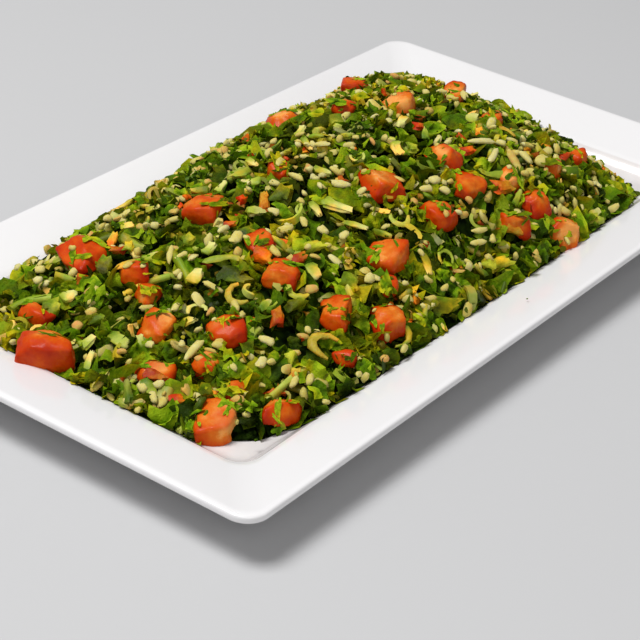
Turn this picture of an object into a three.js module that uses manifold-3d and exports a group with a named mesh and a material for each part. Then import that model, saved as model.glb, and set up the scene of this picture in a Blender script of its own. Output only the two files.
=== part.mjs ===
// Tabbouleh salad heaped on a white rectangular porcelain platter.
// Millimetres, +Z up. The origin is on the table, under the middle of the platter,
// and +X runs along the platter's long side.
import * as THREE from 'three';
import { mergeVertices } from 'three/addons/utils/BufferGeometryUtils.js';
import Module from 'manifold-3d';

const wasm = await Module();
wasm.setup();

// ---------------------------------------------------------------- driving dimensions
const platterLength = 350;
const platterWidth = 190;
const lipTop = 20; // highest line of the platter's lip above the table
const lipDepth = 3.8; // height of the upright edge of the lip
const lipRound = 0.9;
const outerCorner = 9; // corner radius of the lip
const rimOnLongSide = 24.6; // flat rim from the lip to the well, on each long side
const rimOnShortSide = 28;
const rimFall = 6.5; // the rim slopes down this much towards the well
const wellDepth = 5; // from the well's edge down to its floor
const wellWall = 5; // plan width of the well's sloping wall
const wellCorner = 8.5;
const rimThickness = 4.6;
const cornerDrop = 1.2; // the lip's corners lie lower than the middles of its sides
const footInset = 9; // foot ring, inside the well's edge
const footWidth = 8;
const footRecess = 2.5;
const fitGap = 0.3; // between pieces that touch

const heapHalfLength = 144;
const heapHalfWidth = 71;
const heapShift = 1.5; // the heap leans over the far rim by this much
const heapRoundness = 5; // exponent of the heap's plan outline
const heapHeight = 34; // above the well's edge, at the middle
const heapLean = 12; // the +X half is fuller than the -X half
const heapTilt = 0.25; // the +Y half is fuller than the -Y half
const looseLayer = 4; // depth of loose pieces over the solid core
const bumpHeight = 1.3;
const bumpLength = 23;
const coreColumns = 34; // cells of the core's top, about 8.5 mm each way
const coreRows = 17;
const edgeCrowding = 1.25; // radians of a sine: the cells are smaller at the heap's steep edges
const coreJitter = 0.22; // of a cell
const coreRoughness = 1.2;

const leafThickness = 0.8;
const leastKept = 0.6; // share of a loose piece that has to clear the dish
const dieSink = 0.32; // a die's middle lies this share of its height under the heap's surface
const randomSeed = 20417;

// ---------------------------------------------------------------- materials
function finish(colour, roughness) {
  return new THREE.MeshStandardMaterial({ color: colour, roughness, metalness: 0 });
}

// ---------------------------------------------------------------- small helpers
function seededRandom(seed) {
  let state = seed;
  return () => {
    state = (state + 0x6d2b79f5) | 0;
    let mixed = Math.imul(state ^ (state >>> 15), 1 | state);
    mixed = (mixed + Math.imul(mixed ^ (mixed >>> 7), 61 | mixed)) ^ mixed;
    return ((mixed ^ (mixed >>> 14)) >>> 0) / 4294967296;
  };
}

function between(random, low, high) {
  return low + (high - low) * random();
}

function toSolid(geometry) {
  const bare = geometry.clone();
  bare.deleteAttribute('normal');
  bare.deleteAttribute('uv');
  const merged = mergeVertices(bare, 1e-4);
  return new wasm.Manifold(new wasm.Mesh({
    numProp: 3,
    vertProperties: new Float32Array(merged.attributes.position.array),
    triVerts: new Uint32Array(merged.index.array),
  }));
}

function toGeometry(solid) {
  const mesh = solid.getMesh();
  const geometry = new THREE.BufferGeometry();
  geometry.setAttribute('position', new THREE.BufferAttribute(new Float32Array(mesh.vertProperties), 3));
  geometry.setIndex(new THREE.BufferAttribute(new Uint32Array(mesh.triVerts), 1));
  geometry.computeVertexNormals();
  return geometry;
}

// Only the outer skin of the largest body: sealed hollows are filled and loose scraps dropped.
function largestBody(solid) {
  const bodies = solid.decompose();
  return bodies.reduce((best, body) => (body.volume() > best.volume() ? body : best));
}

function reshape(geometry, move) {
  const position = geometry.attributes.position;
  const point = new THREE.Vector3();
  for (let i = 0; i < position.count; i++) {
    point.fromBufferAttribute(position, i);
    move(point);
    position.setXYZ(i, point.x, point.y, point.z);
  }
  return geometry;
}

// ---------------------------------------------------------------- platter
const cornerSteps = 4;
const sideSteps = 2;

// A rounded rectangle at height z, with its corners lowered by drop.
function rectangleRing({ halfX, halfY, radius, z, drop = 0 }) {
  const corners = [[1, 1], [-1, 1], [-1, -1], [1, -1]];
  const points = [];
  corners.forEach(([sx, sy], quarter) => {
    for (let step = 0; step <= cornerSteps; step++) {
      const angle = (quarter + step / cornerSteps) * Math.PI / 2;
      points.push([
        sx * (halfX - radius) + radius * Math.cos(angle),
        sy * (halfY - radius) + radius * Math.sin(angle),
      ]);
    }
    const [nextX, nextY] = corners[(quarter + 1) % 4];
    const angle = (quarter + 1) * Math.PI / 2;
    const from = points[points.length - 1];
    const to = [
      nextX * (halfX - radius) + radius * Math.cos(angle),
      nextY * (halfY - radius) + radius * Math.sin(angle),
    ];
    for (let step = 1; step < sideSteps; step++) {
      const share = step / sideSteps;
      points.push([from[0] + (to[0] - from[0]) * share, from[1] + (to[1] - from[1]) * share]);
    }
  });
  return points.map(([x, y]) => {
    const cornerness = (x / halfX) ** 2 * (y / halfY) ** 2;
    return new THREE.Vector3(x, y, z - drop * cornerness);
  });
}

// A closed solid through the rings, from the first ring's flat cap to the last one's.
function loft(rings) {
  const count = rings[0].length;
  const vertices = [];
  const triangles = [];
  rings.forEach((ring) => ring.forEach((point) => vertices.push(point.x, point.y, point.z)));
  const capCentre = (ring) => {
    const centre = ring.reduce((sum, point) => sum.add(point), new THREE.Vector3());
    centre.divideScalar(count);
    vertices.push(centre.x, centre.y, centre.z);
    return vertices.length / 3 - 1;
  };
  const first = capCentre(rings[0]);
  const last = capCentre(rings[rings.length - 1]);
  const lastRow = (rings.length - 1) * count;
  for (let i = 0; i < count; i++) {
    const next = (i + 1) % count;
    triangles.push(first, next, i);
    triangles.push(last, lastRow + i, lastRow + next);
    for (let row = 0; row < rings.length - 1; row++) {
      const low = row * count;
      const high = low + count;
      triangles.push(low + i, low + next, high + next);
      triangles.push(low + i, high + next, high + i);
    }
  }
  const geometry = new THREE.BufferGeometry();
  geometry.setAttribute('position', new THREE.Float32BufferAttribute(vertices, 3));
  geometry.setIndex(triangles);
  return geometry;
}

const wellEdge = lipTop - rimFall;
const wellFloor = wellEdge - wellDepth;

// A ring measured from the lip inwards: rimShare 0 is the lip, 1 the well's edge,
// and inwards is a further step in millimetres.
function dishRing(rimShare, inwards, z, radius, drop) {
  return rectangleRing({
    halfX: platterLength / 2 - rimOnShortSide * rimShare - inwards,
    halfY: platterWidth / 2 - rimOnLongSide * rimShare - inwards,
    radius,
    z,
    drop,
  });
}

// The dish's upper surface from the lip's crest to the floor, lifted off it by gap.
function upperRings(gap) {
  return [
    dishRing(0, 2.6, lipTop + gap, outerCorner - 2, cornerDrop),
    dishRing(0.96, gap, wellEdge + 0.5 + gap, wellCorner, cornerDrop * 0.2),
    dishRing(1, 1 + gap, wellEdge - 0.8 + gap, wellCorner - 0.5, 0),
    dishRing(1, wellWall + gap, wellFloor + 0.6 + gap, wellCorner - 3, 0),
    dishRing(1, wellWall + 3 + gap, wellFloor + gap, wellCorner - 5, 0),
  ];
}

function buildPlatter() {
  const footOuter = footInset + footWidth;
  const under = [
    dishRing(1, footOuter + 1, footRecess, 3, 0),
    dishRing(1, footOuter, 0, 4, 0),
    dishRing(1, footInset, 0, 7, 0),
    dishRing(1, footInset - 1.5, footRecess, 8, 0),
    dishRing(0.92, 0, wellEdge - rimThickness, wellCorner, cornerDrop * 0.2),
    dishRing(0, 3, lipTop - lipDepth - 0.4, outerCorner - 2, cornerDrop),
    dishRing(0, lipRound, lipTop - lipDepth, outerCorner - 0.5, cornerDrop),
    dishRing(0, 0, lipTop - lipDepth + lipRound, outerCorner, cornerDrop),
    dishRing(0, 0, lipTop - lipRound, outerCorner, cornerDrop),
    dishRing(0, lipRound, lipTop - 0.2, outerCorner - 0.5, cornerDrop),
  ];
  return loft([...under, ...upperRings(0)]);
}

// All the space over the dish, which its contents have to stay inside.
function buildDishSpace() {
  const ceiling = 150;
  const above = dishRing(0, 2.6, ceiling, outerCorner - 2, 0);
  return toSolid(loft([...upperRings(fitGap).reverse(), above]));
}

// ---------------------------------------------------------------- the heap's form
function heapSpread(x, y) {
  const along = Math.abs(x) / heapHalfLength;
  const across = Math.abs(y - heapShift) / heapHalfWidth;
  return (along ** heapRoundness + across ** heapRoundness) ** (1 / heapRoundness);
}

// Height of the heap's loose outer surface.
function heapSurface(x, y) {
  const along = x / heapHalfLength;
  const across = (y - heapShift) / heapHalfWidth;
  const spread = Math.min(heapSpread(x, y), 1);
  const ridge = heapHeight + heapLean * along * (1 - along);
  return wellEdge + ridge * (1 + heapTilt * across) * (1 - spread ** 2.4) ** 0.7;
}

function bump(x, y) {
  const wave = 2 * Math.PI / bumpLength;
  const one = Math.sin(wave * x + 1.3 * Math.sin(wave * 0.43 * y));
  const two = Math.sin(wave * 0.9 * y + 1.1 * Math.sin(wave * 0.37 * x + 1));
  return bumpHeight * one * two;
}

// Height of the solid core under the loose pieces.
function coreSurface(x, y) {
  return heapSurface(x, y) - looseLayer + bump(x, y);
}

function surfaceNormal(x, y) {
  const step = 2;
  const slopeX = (heapSurface(x + step, y) - heapSurface(x - step, y)) / (2 * step);
  const slopeY = (heapSurface(x, y + step) - heapSurface(x, y - step)) / (2 * step);
  return new THREE.Vector3(-slopeX, -slopeY, 1).normalize();
}

// The square from -1 to 1 each way, with its corners cut back to the heap's plan outline.
function heapPlan(u, v) {
  const cornerCut = 1 - 2 ** (-1 / heapRoundness);
  return [
    heapHalfLength * u * (1 - cornerCut * v ** 4),
    heapShift + heapHalfWidth * v * (1 - cornerCut * u ** 4),
  ];
}

// The bare core, raised by lift, before it is trimmed to the dish: a rough top over a plain skirt.
function coreBlank(lift) {
  const random = seededRandom(randomSeed);
  const crowd = (share) => Math.sin(edgeCrowding * share) / Math.sin(edgeCrowding);
  const vertices = [];
  const triangles = [];
  const row = coreColumns + 1;
  for (let j = 0; j <= coreRows; j++) {
    for (let i = 0; i <= coreColumns; i++) {
      const inside = i > 0 && j > 0 && i < coreColumns && j < coreRows;
      const shift = inside ? coreJitter : 0;
      const u = (i + between(random, -shift, shift)) * 2 / coreColumns - 1;
      const v = (j + between(random, -shift, shift)) * 2 / coreRows - 1;
      const rough = inside ? between(random, -coreRoughness, coreRoughness) : 0;
      const [x, y] = heapPlan(crowd(u), crowd(v));
      const grow = inside ? 0 : lift;
      const wideX = 1 + grow / heapHalfLength;
      const wideY = 1 + grow / heapHalfWidth;
      vertices.push(x * wideX, y * wideY, coreSurface(x, y) + rough + lift);
    }
  }
  for (let j = 0; j < coreRows; j++) {
    for (let i = 0; i < coreColumns; i++) {
      const corner = j * row + i;
      triangles.push(corner, corner + 1, corner + row + 1, corner, corner + row + 1, corner + row);
    }
  }
  const rim = [];
  for (let i = 0; i < coreColumns; i++) {
    rim.push(i);
  }
  for (let j = 0; j < coreRows; j++) {
    rim.push(j * row + coreColumns);
  }
  for (let i = coreColumns; i > 0; i--) {
    rim.push(coreRows * row + i);
  }
  for (let j = coreRows; j > 0; j--) {
    rim.push(j * row);
  }
  const skirt = vertices.length / 3;
  rim.forEach((index) => vertices.push(vertices[3 * index], vertices[3 * index + 1], wellFloor - 3));
  vertices.push(0, 0, wellFloor - 3);
  const middle = vertices.length / 3 - 1;
  rim.forEach((index, step) => {
    const after = (step + 1) % rim.length;
    triangles.push(index, skirt + step, skirt + after, index, skirt + after, rim[after]);
    triangles.push(middle, skirt + after, skirt + step);
  });
  const geometry = new THREE.BufferGeometry();
  geometry.setAttribute('position', new THREE.Float32BufferAttribute(vertices, 3));
  geometry.setIndex(triangles);
  return toSolid(geometry);
}

// ---------------------------------------------------------------- loose pieces
// A bar bent along its length, narrowed to its ends and rippled from side to side. A positive arch
// lifts its middle and a negative one its ends.
function bentBar({ length, width, thickness, arch, taper, ripple, steps }) {
  return reshape(new THREE.BoxGeometry(length, width, thickness, steps, 1, 1), (point) => {
    const along = point.x / length; // -0.5 to 0.5
    const side = point.y / width; // -0.5 to 0.5
    const phase = along * 2 * Math.PI;
    point.y *= 1 - taper * (2 * along) ** 2;
    point.y += 1.5 * ripple * Math.cos(phase);
    point.z += arch * (0.5 - 4 * along * along) + 2 * ripple * side * Math.cos(1.5 * phase);
  });
}

// A bar curled in its own plane through turn radians, such as a cut ring of scallion.
function curledBar({ radius, turn, width, thickness, steps }) {
  const length = radius * turn;
  return reshape(new THREE.BoxGeometry(length, width, thickness, steps, 1, 1), (point) => {
    const angle = point.x / radius;
    const reach = radius + point.y;
    point.set(reach * Math.sin(angle), reach * Math.cos(angle) - radius, point.z);
  });
}

// Each kind of loose piece: how many are tried, how far its middle lies over the core,
// and how far it may lean out of the slope, in radians. The largest come first.
const chunks = {
  count: 18,
  lift: 0.6,
  lean: 0.5,
  make: (random) => bentBar({
    length: between(random, 10, 14),
    width: between(random, 6, 9),
    thickness: between(random, 4, 6),
    arch: 1,
    taper: 0.35,
    ripple: 0.3,
    steps: 2,
  }),
};
const curls = {
  count: 16,
  lift: 1,
  lean: 0.6,
  make: (random) => curledBar({
    radius: between(random, 4, 6.5),
    turn: between(random, 2.4, 4.4),
    width: 1.8,
    thickness: between(random, 2, 3),
    steps: 6,
  }),
};
const stems = {
  count: 26,
  lift: 0.8,
  lean: 0.3,
  make: (random) => bentBar({
    length: between(random, 12, 20),
    width: between(random, 2, 3),
    thickness: 1.8,
    arch: between(random, 1, 3),
    taper: 0.2,
    ripple: 0.5,
    steps: 3,
  }),
};
const leaves = {
  count: 76,
  lift: 1.2,
  lean: 0.4,
  make: (random) => bentBar({
    length: between(random, 12, 21),
    width: between(random, 5, 8),
    thickness: leafThickness,
    arch: between(random, 3, 5.5) * (random() < 0.5 ? 1 : -1),
    taper: 0.65,
    ripple: between(random, 0.6, 1.4),
    steps: 3,
  }),
};
const grains = {
  count: 76,
  lift: 0.5,
  lean: 0.4,
  make: (random) => {
    const size = between(random, 0.9, 1.15);
    return new THREE.IcosahedronGeometry(1, 0).scale(2.5 * size, 1.5 * size, 1.3 * size);
  },
};
const looseKinds = [chunks, curls, stems, leaves, grains];

// Even spread over the heap by the additive recurrence of the plastic number.
function spreadPoint(index, offset) {
  const plastic = 1.32471795724;
  const u = (offset + index / plastic) % 1;
  const v = (1.7 * offset + index / plastic ** 2) % 1;
  return heapPlan(1.94 * u - 0.97, 1.94 * v - 0.97);
}

// Turn a piece at random and lay it along the core's slope at x, y.
function settle(geometry, x, y, { lift, lean }, random) {
  const turn = new THREE.Quaternion().setFromEuler(new THREE.Euler(
    between(random, -lean, lean),
    between(random, -lean, lean) * 0.7,
    between(random, 0, 2 * Math.PI),
    'ZYX',
  ));
  const slope = new THREE.Quaternion().setFromUnitVectors(new THREE.Vector3(0, 0, 1), surfaceNormal(x, y));
  geometry.applyQuaternion(turn).applyQuaternion(slope);
  return geometry.translate(x, y, coreSurface(x, y) + lift + between(random, -0.4, 0.4));
}

// ---------------------------------------------------------------- tomato dice
// Each row: x, y, length, width, height, turn in degrees and, for a die that stands proud, its lift.
const tomatoPlaces = [
  [-55, 23, 16, 14, 11, 20], [-96, 44, 18, 15, 10, 65], [-94, 23, 13, 10, 9, 35],
  [-100, 11, 9, 8, 8, 80], [-109, -1, 15, 12, 10, 10], [-99, -24, 13, 13, 11, 50],
  [-142, 20, 19, 13, 12, 127, 6.8], [-127, 39, 13, 7, 9, 100], [-65, -21, 15, 12, 10, 30],
  [-126, -15, 13, 10, 8, 120], [-113, -27, 10, 8, 8, 15], [-131, -47, 17, 14, 11, 40],
  [-114, -58, 14, 9, 9, 150], [-58, -5, 10, 9, 8, 60], [-66, -45, 15, 12, 10, 25],
  [-51, -57, 13, 13, 11, 70], [-78, -59, 8, 6, 6, 110], [16, 40, 16, 14, 11, 55],
  [38, 28, 11, 8, 8, 5], [64, 41, 12, 9, 8, 130], [57, 14, 14, 13, 10, 45],
  [103, 17, 15, 9, 9, 20], [-20, 16, 9, 8, 8, 95], [2, -16, 17, 15, 11, 60],
  [38, -20, 15, 12, 11, 100], [32, -36, 15, 12, 10, 35], [9, -38, 13, 11, 10, 80],
  [-27, -40, 16, 13, 10, 15], [56, -53, 12, 12, 10, 70], [62, -64, 13, 12, 11, 40],
  [82, -45, 8, 7, 7, 10], [105, -44, 9, 8, 7, 55], [38, -55, 13, 9, 9, 140],
  [87, -12, 11, 7, 7, 25], [53, -41, 9, 8, 8, 75], [-118, -43, 8, 6, 6, 20],
  [-39, -49, 8, 7, 7, 50], [62, 70.4, 9, 8, 7, 65], [88, 69.3, 11, 9, 8, 30],
  [114, 65.5, 10, 9, 8, 85],
];

// A die cut from a tomato: a box with soft corners, thinner at one end, with no two edges quite
// parallel. It is grown by grow on every side.
function tomatoDie([x, y, length, width, height, turn, lift = 0], random, grow) {
  const wedge = between(random, -0.22, 0.22);
  const leanX = between(random, -0.35, 0.35);
  const leanY = between(random, -0.35, 0.35);
  const jitter = 0.07;
  const die = new THREE.BoxGeometry(2, 2, 2, 2, 2, 2);
  die.deleteAttribute('uv');
  die.deleteAttribute('normal');
  const corners = reshape(mergeVertices(die), (point) => {
    const sides = Math.abs(point.x) + Math.abs(point.y) + Math.abs(point.z);
    point.multiplyScalar(1.07 - 0.11 * (sides - 1));
    point.y *= 1 + wedge * point.x;
    point.x *= 1 + between(random, -jitter, jitter);
    point.y *= 1 + between(random, -jitter, jitter);
    point.z *= 1 + between(random, -jitter, jitter);
  });
  corners.scale(length / 2 + grow, width / 2 + grow, height / 2 + grow);
  const lean = new THREE.Euler(leanX, leanY, THREE.MathUtils.degToRad(turn), 'ZYX');
  corners.applyQuaternion(new THREE.Quaternion().setFromEuler(lean));
  return toSolid(corners.translate(x, y, heapSurface(x, y) - dieSink * height + lift));
}

function buildTomatoes(dishSpace) {
  const raisedCore = coreBlank(2 * fitGap);
  return tomatoPlaces.map((place, index) => {
    const random = seededRandom(randomSeed + index);
    return largestBody(tomatoDie(place, random, 0).subtract(raisedCore).intersect(dishSpace));
  });
}

// ---------------------------------------------------------------- the heap
function buildHeap(dishSpace) {
  let heap = coreBlank(0).intersect(dishSpace);
  const keepOut = tomatoPlaces.map((place, index) => tomatoDie(place, seededRandom(randomSeed + index), fitGap));
  const random = seededRandom(randomSeed);
  looseKinds.forEach((kind, kindIndex) => {
    for (let i = 0; i < kind.count; i++) {
      const [x, y] = spreadPoint(i, 0.21 + 0.137 * kindIndex);
      const whole = toSolid(settle(kind.make(random), x, y, kind, random));
      const piece = whole.intersect(dishSpace);
      const mostlyKept = piece.volume() > leastKept * whole.volume();
      const crossesTomato = keepOut.some((die) => !die.intersect(piece).isEmpty());
      if (mostlyKept && !crossesTomato) {
        heap = heap.add(piece);
      }
    }
  });
  return largestBody(heap);
}

// ---------------------------------------------------------------- assembly
function named(name, geometry, material) {
  const mesh = new THREE.Mesh(geometry, material);
  mesh.name = name;
  return mesh;
}

const dishSpace = buildDishSpace();
const group = new THREE.Group();
group.add(named('platter', buildPlatter(), finish('#f2f1ef', 0.12)));
group.add(named('salad', toGeometry(buildHeap(dishSpace)), finish('#3f7a1c', 0.45)));
buildTomatoes(dishSpace).forEach((tomato, index) => {
  const name = `tomato_${String(index + 1).padStart(2, '0')}`;
  group.add(named(name, toGeometry(tomato), finish('#d8431c', 0.3)));
});

export default group;
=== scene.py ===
import bpy
import bmesh
import math
import numpy as np
from mathutils import Matrix, Vector, noise
from mathutils.bvhtree import BVHTree


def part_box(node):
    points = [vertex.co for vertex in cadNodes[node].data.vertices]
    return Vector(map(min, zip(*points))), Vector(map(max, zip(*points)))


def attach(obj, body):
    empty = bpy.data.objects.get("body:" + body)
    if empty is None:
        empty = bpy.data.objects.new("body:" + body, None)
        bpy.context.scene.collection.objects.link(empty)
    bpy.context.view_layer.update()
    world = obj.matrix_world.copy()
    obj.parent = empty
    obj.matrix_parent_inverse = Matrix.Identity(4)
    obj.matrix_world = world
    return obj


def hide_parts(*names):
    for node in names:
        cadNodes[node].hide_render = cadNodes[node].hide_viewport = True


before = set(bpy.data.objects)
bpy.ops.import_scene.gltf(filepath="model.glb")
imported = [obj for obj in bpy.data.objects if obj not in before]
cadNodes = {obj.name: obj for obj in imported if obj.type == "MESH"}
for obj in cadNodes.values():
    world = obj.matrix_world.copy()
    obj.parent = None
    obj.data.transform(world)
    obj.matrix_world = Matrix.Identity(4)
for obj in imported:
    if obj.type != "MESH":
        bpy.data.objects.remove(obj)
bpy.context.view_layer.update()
tomatoNodes = sorted(name for name in cadNodes if name.startswith("tomato_"))
print("frame loaded:", len(cadNodes), "nodes")


platterLow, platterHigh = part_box("platter")
lipTop = platterHigh.z
platter = {
    "rimOnLongSide": 0.0246,
    "rimOnShortSide": 0.028,
    "rimFall": 0.0065,
    "wellDepth": 0.005,
    "wellWall": 0.005,
    "wellCorner": 0.0085,
    "outerCorner": 0.009,
    "lipDepth": 0.0038,
    "lipRound": 0.0009,
    "rimThickness": 0.0046,
    "cornerDrop": 0.0012,
    "footInset": 0.009,
    "footWidth": 0.008,
    "footRecess": 0.0025,
    "cornerSteps": 12,
    "roundSteps": 5,
    "sharpFrom": 50,
}
wellEdge = lipTop - platter["rimFall"]
wellFloor = wellEdge - platter["wellDepth"]

heap = {
    "halfLength": 0.144,
    "halfWidth": 0.071,
    "shift": 0.0015,
    "roundness": 5,
    "height": 0.034,
    "lean": 0.012,
    "tilt": 0.25,
    "flatTop": 2.4,  # a higher power gives a flatter top with steeper edges
    "edgeFall": 0.7,
    "looseDepth": 0.0088,  # from the outer surface down to the core that shows between the pieces
    "settled": 0.0022,  # the loose pieces lie this much deeper than the outer surface
    "footShare": 0.1,  # this share of the pieces lies at the foot of the heap, on the dish
    "footHeights": (0.001, 0.0065),
    "lumps": 0.0026,
    "lumpLength": 0.021,
    "hollowDepth": 0.0052,
    "hollowLength": 0.017,
    "hollowLevel": 0.44,
    "leastUp": 0.35,  # keeps the normals of the steep edge from lying flat
    "standOut": 0.0004,  # how far a loose piece may rise above the outer surface
    "drift": 0.16,  # the leaves' tone changes this much from one part of the heap to another
}

# how scattered pieces are drawn at random
scatter = {
    "grown": (0.55, 1.6),  # bounds of the growth along each axis
    "litShare": 0.25,  # pieces in this upper share of their kind's depth are not darkened
    "driftScale": 0.8,
    "driftShift": 0.05,
    "underPlaced": 0.004,  # from this depth on pieces may lie under a placed one
}

# how copies are moved to fit heap, rim and dish; the brighter ones may stand out more, so that the pieces
# standing proud are the lighter ones, as painted light
fitting = {
    "rimSlack": 0.0004,
    "brightSlack": 0.003,
    "wellMove": 0.012,  # furthest move off the rim
    "wellMargin": 0.001,
    "brightStandOut": 7,
    "roofOverRim": 0.006,
    "lowering": 0.007,
    "outlinePixels": 1,
    "brightPixels": 5,
    "outlineLowering": 0.006,
    "pixelLimit": 6,  # a copy that still shows this far above the outline is left out
    "dieClear": 0.0006,  # a copy whose middle lies this far above the heap lies on a die
    "dishGap": 0.0003,
    "drapeLift": 0.012,  # a soft copy that lies deeper than this in the dish is left out
    "stiffLift": 0.004,
    "sharpFrom": 70,
}
mergeWithin = 1e-6

# where the camera stands and how it is turned; positions in its frame are in pixels of a 640 square
camera = {
    "place": Vector((-0.5707, -0.3813, 0.3753)),
    "right": Vector((0.59480, -0.80033, 0.07541)),
    "up": Vector((0.36560, 0.35287, 0.86129)),
    "sensor": 36,
    "lens": 112.5,
    "frame": 640,
    "reach": (0.55, 1.05),  # the heap lies between these distances
    "faceOn": 0.25,  # placed pieces lean this much towards the camera
}


def heapPlan(u, v):
    # the square from -1 to 1 each way, with its corners cut back to the heap's outline
    cut = 1 - 2 ** (-1 / heap["roundness"])
    x = heap["halfLength"] * u * (1 - cut * v ** 4)
    y = heap["shift"] + heap["halfWidth"] * v * (1 - cut * u ** 4)
    return x, y


def heapSurface(x, y):
    along = x / heap["halfLength"]
    across = (y - heap["shift"]) / heap["halfWidth"]
    power = heap["roundness"]
    spread = np.minimum((np.abs(along) ** power + np.abs(across) ** power) ** (1 / power), 1)
    ridge = heap["height"] + heap["lean"] * along * (1 - along)
    dome = (1 - spread ** heap["flatTop"]) ** heap["edgeFall"]
    return wellEdge + ridge * (1 + heap["tilt"] * across) * dome


# places on the far edge where the salad lies lower: x, y, radius and depth
dents = [
    (0.058, 0.053, 0.014, 0.0045), (0.133, -0.039, 0.020, 0.0055), (-0.095, 0.066, 0.012, 0.004),
    (0.126, -0.003, 0.012, 0.0035), (0.130, -0.021, 0.012, 0.003), (-0.030, 0.062, 0.010, 0.003),
]


def dentDepth(x, y):
    return sum(depth * np.exp(-((x - a) ** 2 + (y - b) ** 2) / radius ** 2) for a, b, radius, depth in dents)


def lumps(x, y):
    # soft hills and hollows, from -1 to 1
    wave = 2 * np.pi / heap["lumpLength"]
    one = np.sin(wave * x + 1.7 * np.sin(wave * 0.41 * y + 0.6))
    two = np.sin(wave * 0.87 * y + 1.5 * np.sin(wave * 0.33 * x + 2.0))
    three = np.sin(wave * 0.52 * (x + y) + 1.1 * np.sin(wave * 0.6 * (x - y)))
    return 0.45 * one + 0.35 * two + 0.2 * three


def hollows(x, y):
    # 1 where the top pieces lie apart and the dark inside shows, else 0
    wave = 2 * np.pi / heap["hollowLength"]
    one = np.sin(wave * x + 2.1 * np.sin(wave * 0.37 * y + 1.9) + 0.8)
    two = np.sin(wave * 1.06 * y + 1.9 * np.sin(wave * 0.45 * x + 0.3))
    apart = one * two > heap["hollowLevel"]
    for a, b, radius in gapCircles:
        apart = apart | (np.hypot(x - a, y - b) < radius)
    return np.asarray(apart).astype(float)


def surfacePoints(count, rng, footShare):
    # even random points over the heap's outer surface, with the normals there
    columns, rows = 240, 120
    u, v = np.meshgrid(np.linspace(-1, 1, columns), np.linspace(-1, 1, rows))
    x, y = heapPlan(u, v)
    points = np.stack([x, y, heapSurface(x, y)], -1)
    sideA = points[1:, 1:] - points[:-1, :-1]
    sideB = points[1:, :-1] - points[:-1, 1:]
    areas = np.linalg.norm(np.cross(sideA, sideB), axis=-1).ravel()
    cells = rng.choice(areas.size, size=count, p=areas / areas.sum())
    u = (cells % (columns - 1) + rng.random(count)) / (columns - 1) * 2 - 1
    v = (cells // (columns - 1) + rng.random(count)) / (rows - 1) * 2 - 1
    places, normals = liftedPoints(*heapPlan(u, v))
    # some lie at the foot of the heap, on the dish
    foot = np.flatnonzero(rng.random(count) < footShare)
    past = 1.01  # just outside the heap's outline
    stretch = past / np.maximum(np.abs(u[foot]), np.abs(v[foot]))
    x, y = heapPlan(np.clip(u[foot] * stretch, -past, past), np.clip(v[foot] * stretch, -past, past))
    low = np.stack([x, y, np.zeros_like(x)], -1)
    low[:, 2] = dishTop(low) + rng.uniform(*heap["footHeights"], foot.size)
    places[foot] = low
    return places, normals


def liftedPoints(x, y):
    step = 0.0015
    slopeX = (heapSurface(x + step, y) - heapSurface(x - step, y)) / (2 * step)
    slopeY = (heapSurface(x, y + step) - heapSurface(x, y - step)) / (2 * step)
    normals = np.stack([-slopeX, -slopeY, np.full_like(x, 1.0)], -1)
    normals[:, 2] = np.maximum(normals[:, 2], heap["leastUp"] * np.hypot(slopeX, slopeY))
    normals /= np.linalg.norm(normals, axis=1, keepdims=True)
    z = heapSurface(x, y) - dentDepth(x, y) + heap["lumps"] * lumps(x, y)
    return np.stack([x, y, z], -1) - normals * heap["settled"], normals


def treeOf(names):
    vertices, faces = [], []
    for name in names:
        mesh = cadNodes[name].data
        start = len(vertices)
        vertices += [v.co.copy() for v in mesh.vertices]
        faces += [[start + i for i in f.vertices] for f in mesh.polygons]
    return BVHTree.FromPolygons(vertices, faces)


tomatoTree = treeOf(tomatoNodes)
tomatoCentres = np.array([(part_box(n)[0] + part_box(n)[1]) / 2 for n in tomatoNodes])
tomatoReach = np.array([(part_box(n)[1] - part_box(n)[0]).length / 2 for n in tomatoNodes])
dishTree = treeOf(["platter"])
overhead = 0.2  # a height above everything, from which rays look down
down = Vector((0, 0, -1))


def dishHeights():
    # height of the dish's upper face on a grid, for laying pieces on it
    spacing = 0.00125
    xs = np.linspace(platterLow.x, platterHigh.x, round((platterHigh.x - platterLow.x) / spacing) + 1)
    ys = np.linspace(platterLow.y, platterHigh.y, round((platterHigh.y - platterLow.y) / spacing) + 1)
    grid = np.full((ys.size, xs.size), -1.0)
    for j, y in enumerate(ys):
        for i, x in enumerate(xs):
            hit = dishTree.ray_cast(Vector((x, y, overhead)), down)[0]
            if hit:
                grid[j, i] = hit.z
    return xs, ys, grid


dishXs, dishYs, dishGrid = dishHeights()


def dishTop(points):
    i = np.interp(points[..., 0], dishXs, np.arange(dishXs.size))
    j = np.interp(points[..., 1], dishYs, np.arange(dishYs.size))
    i0 = np.minimum(i.astype(int), dishXs.size - 2)
    j0 = np.minimum(j.astype(int), dishYs.size - 2)
    a, b = i - i0, j - j0
    low = dishGrid[j0, i0] * (1 - a) + dishGrid[j0, i0 + 1] * a
    high = dishGrid[j0 + 1, i0] * (1 - a) + dishGrid[j0 + 1, i0 + 1] * a
    return low * (1 - b) + high * b


focalPixels = camera["lens"] / camera["sensor"] * camera["frame"]
cameraBack = camera["right"].cross(camera["up"])


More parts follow.
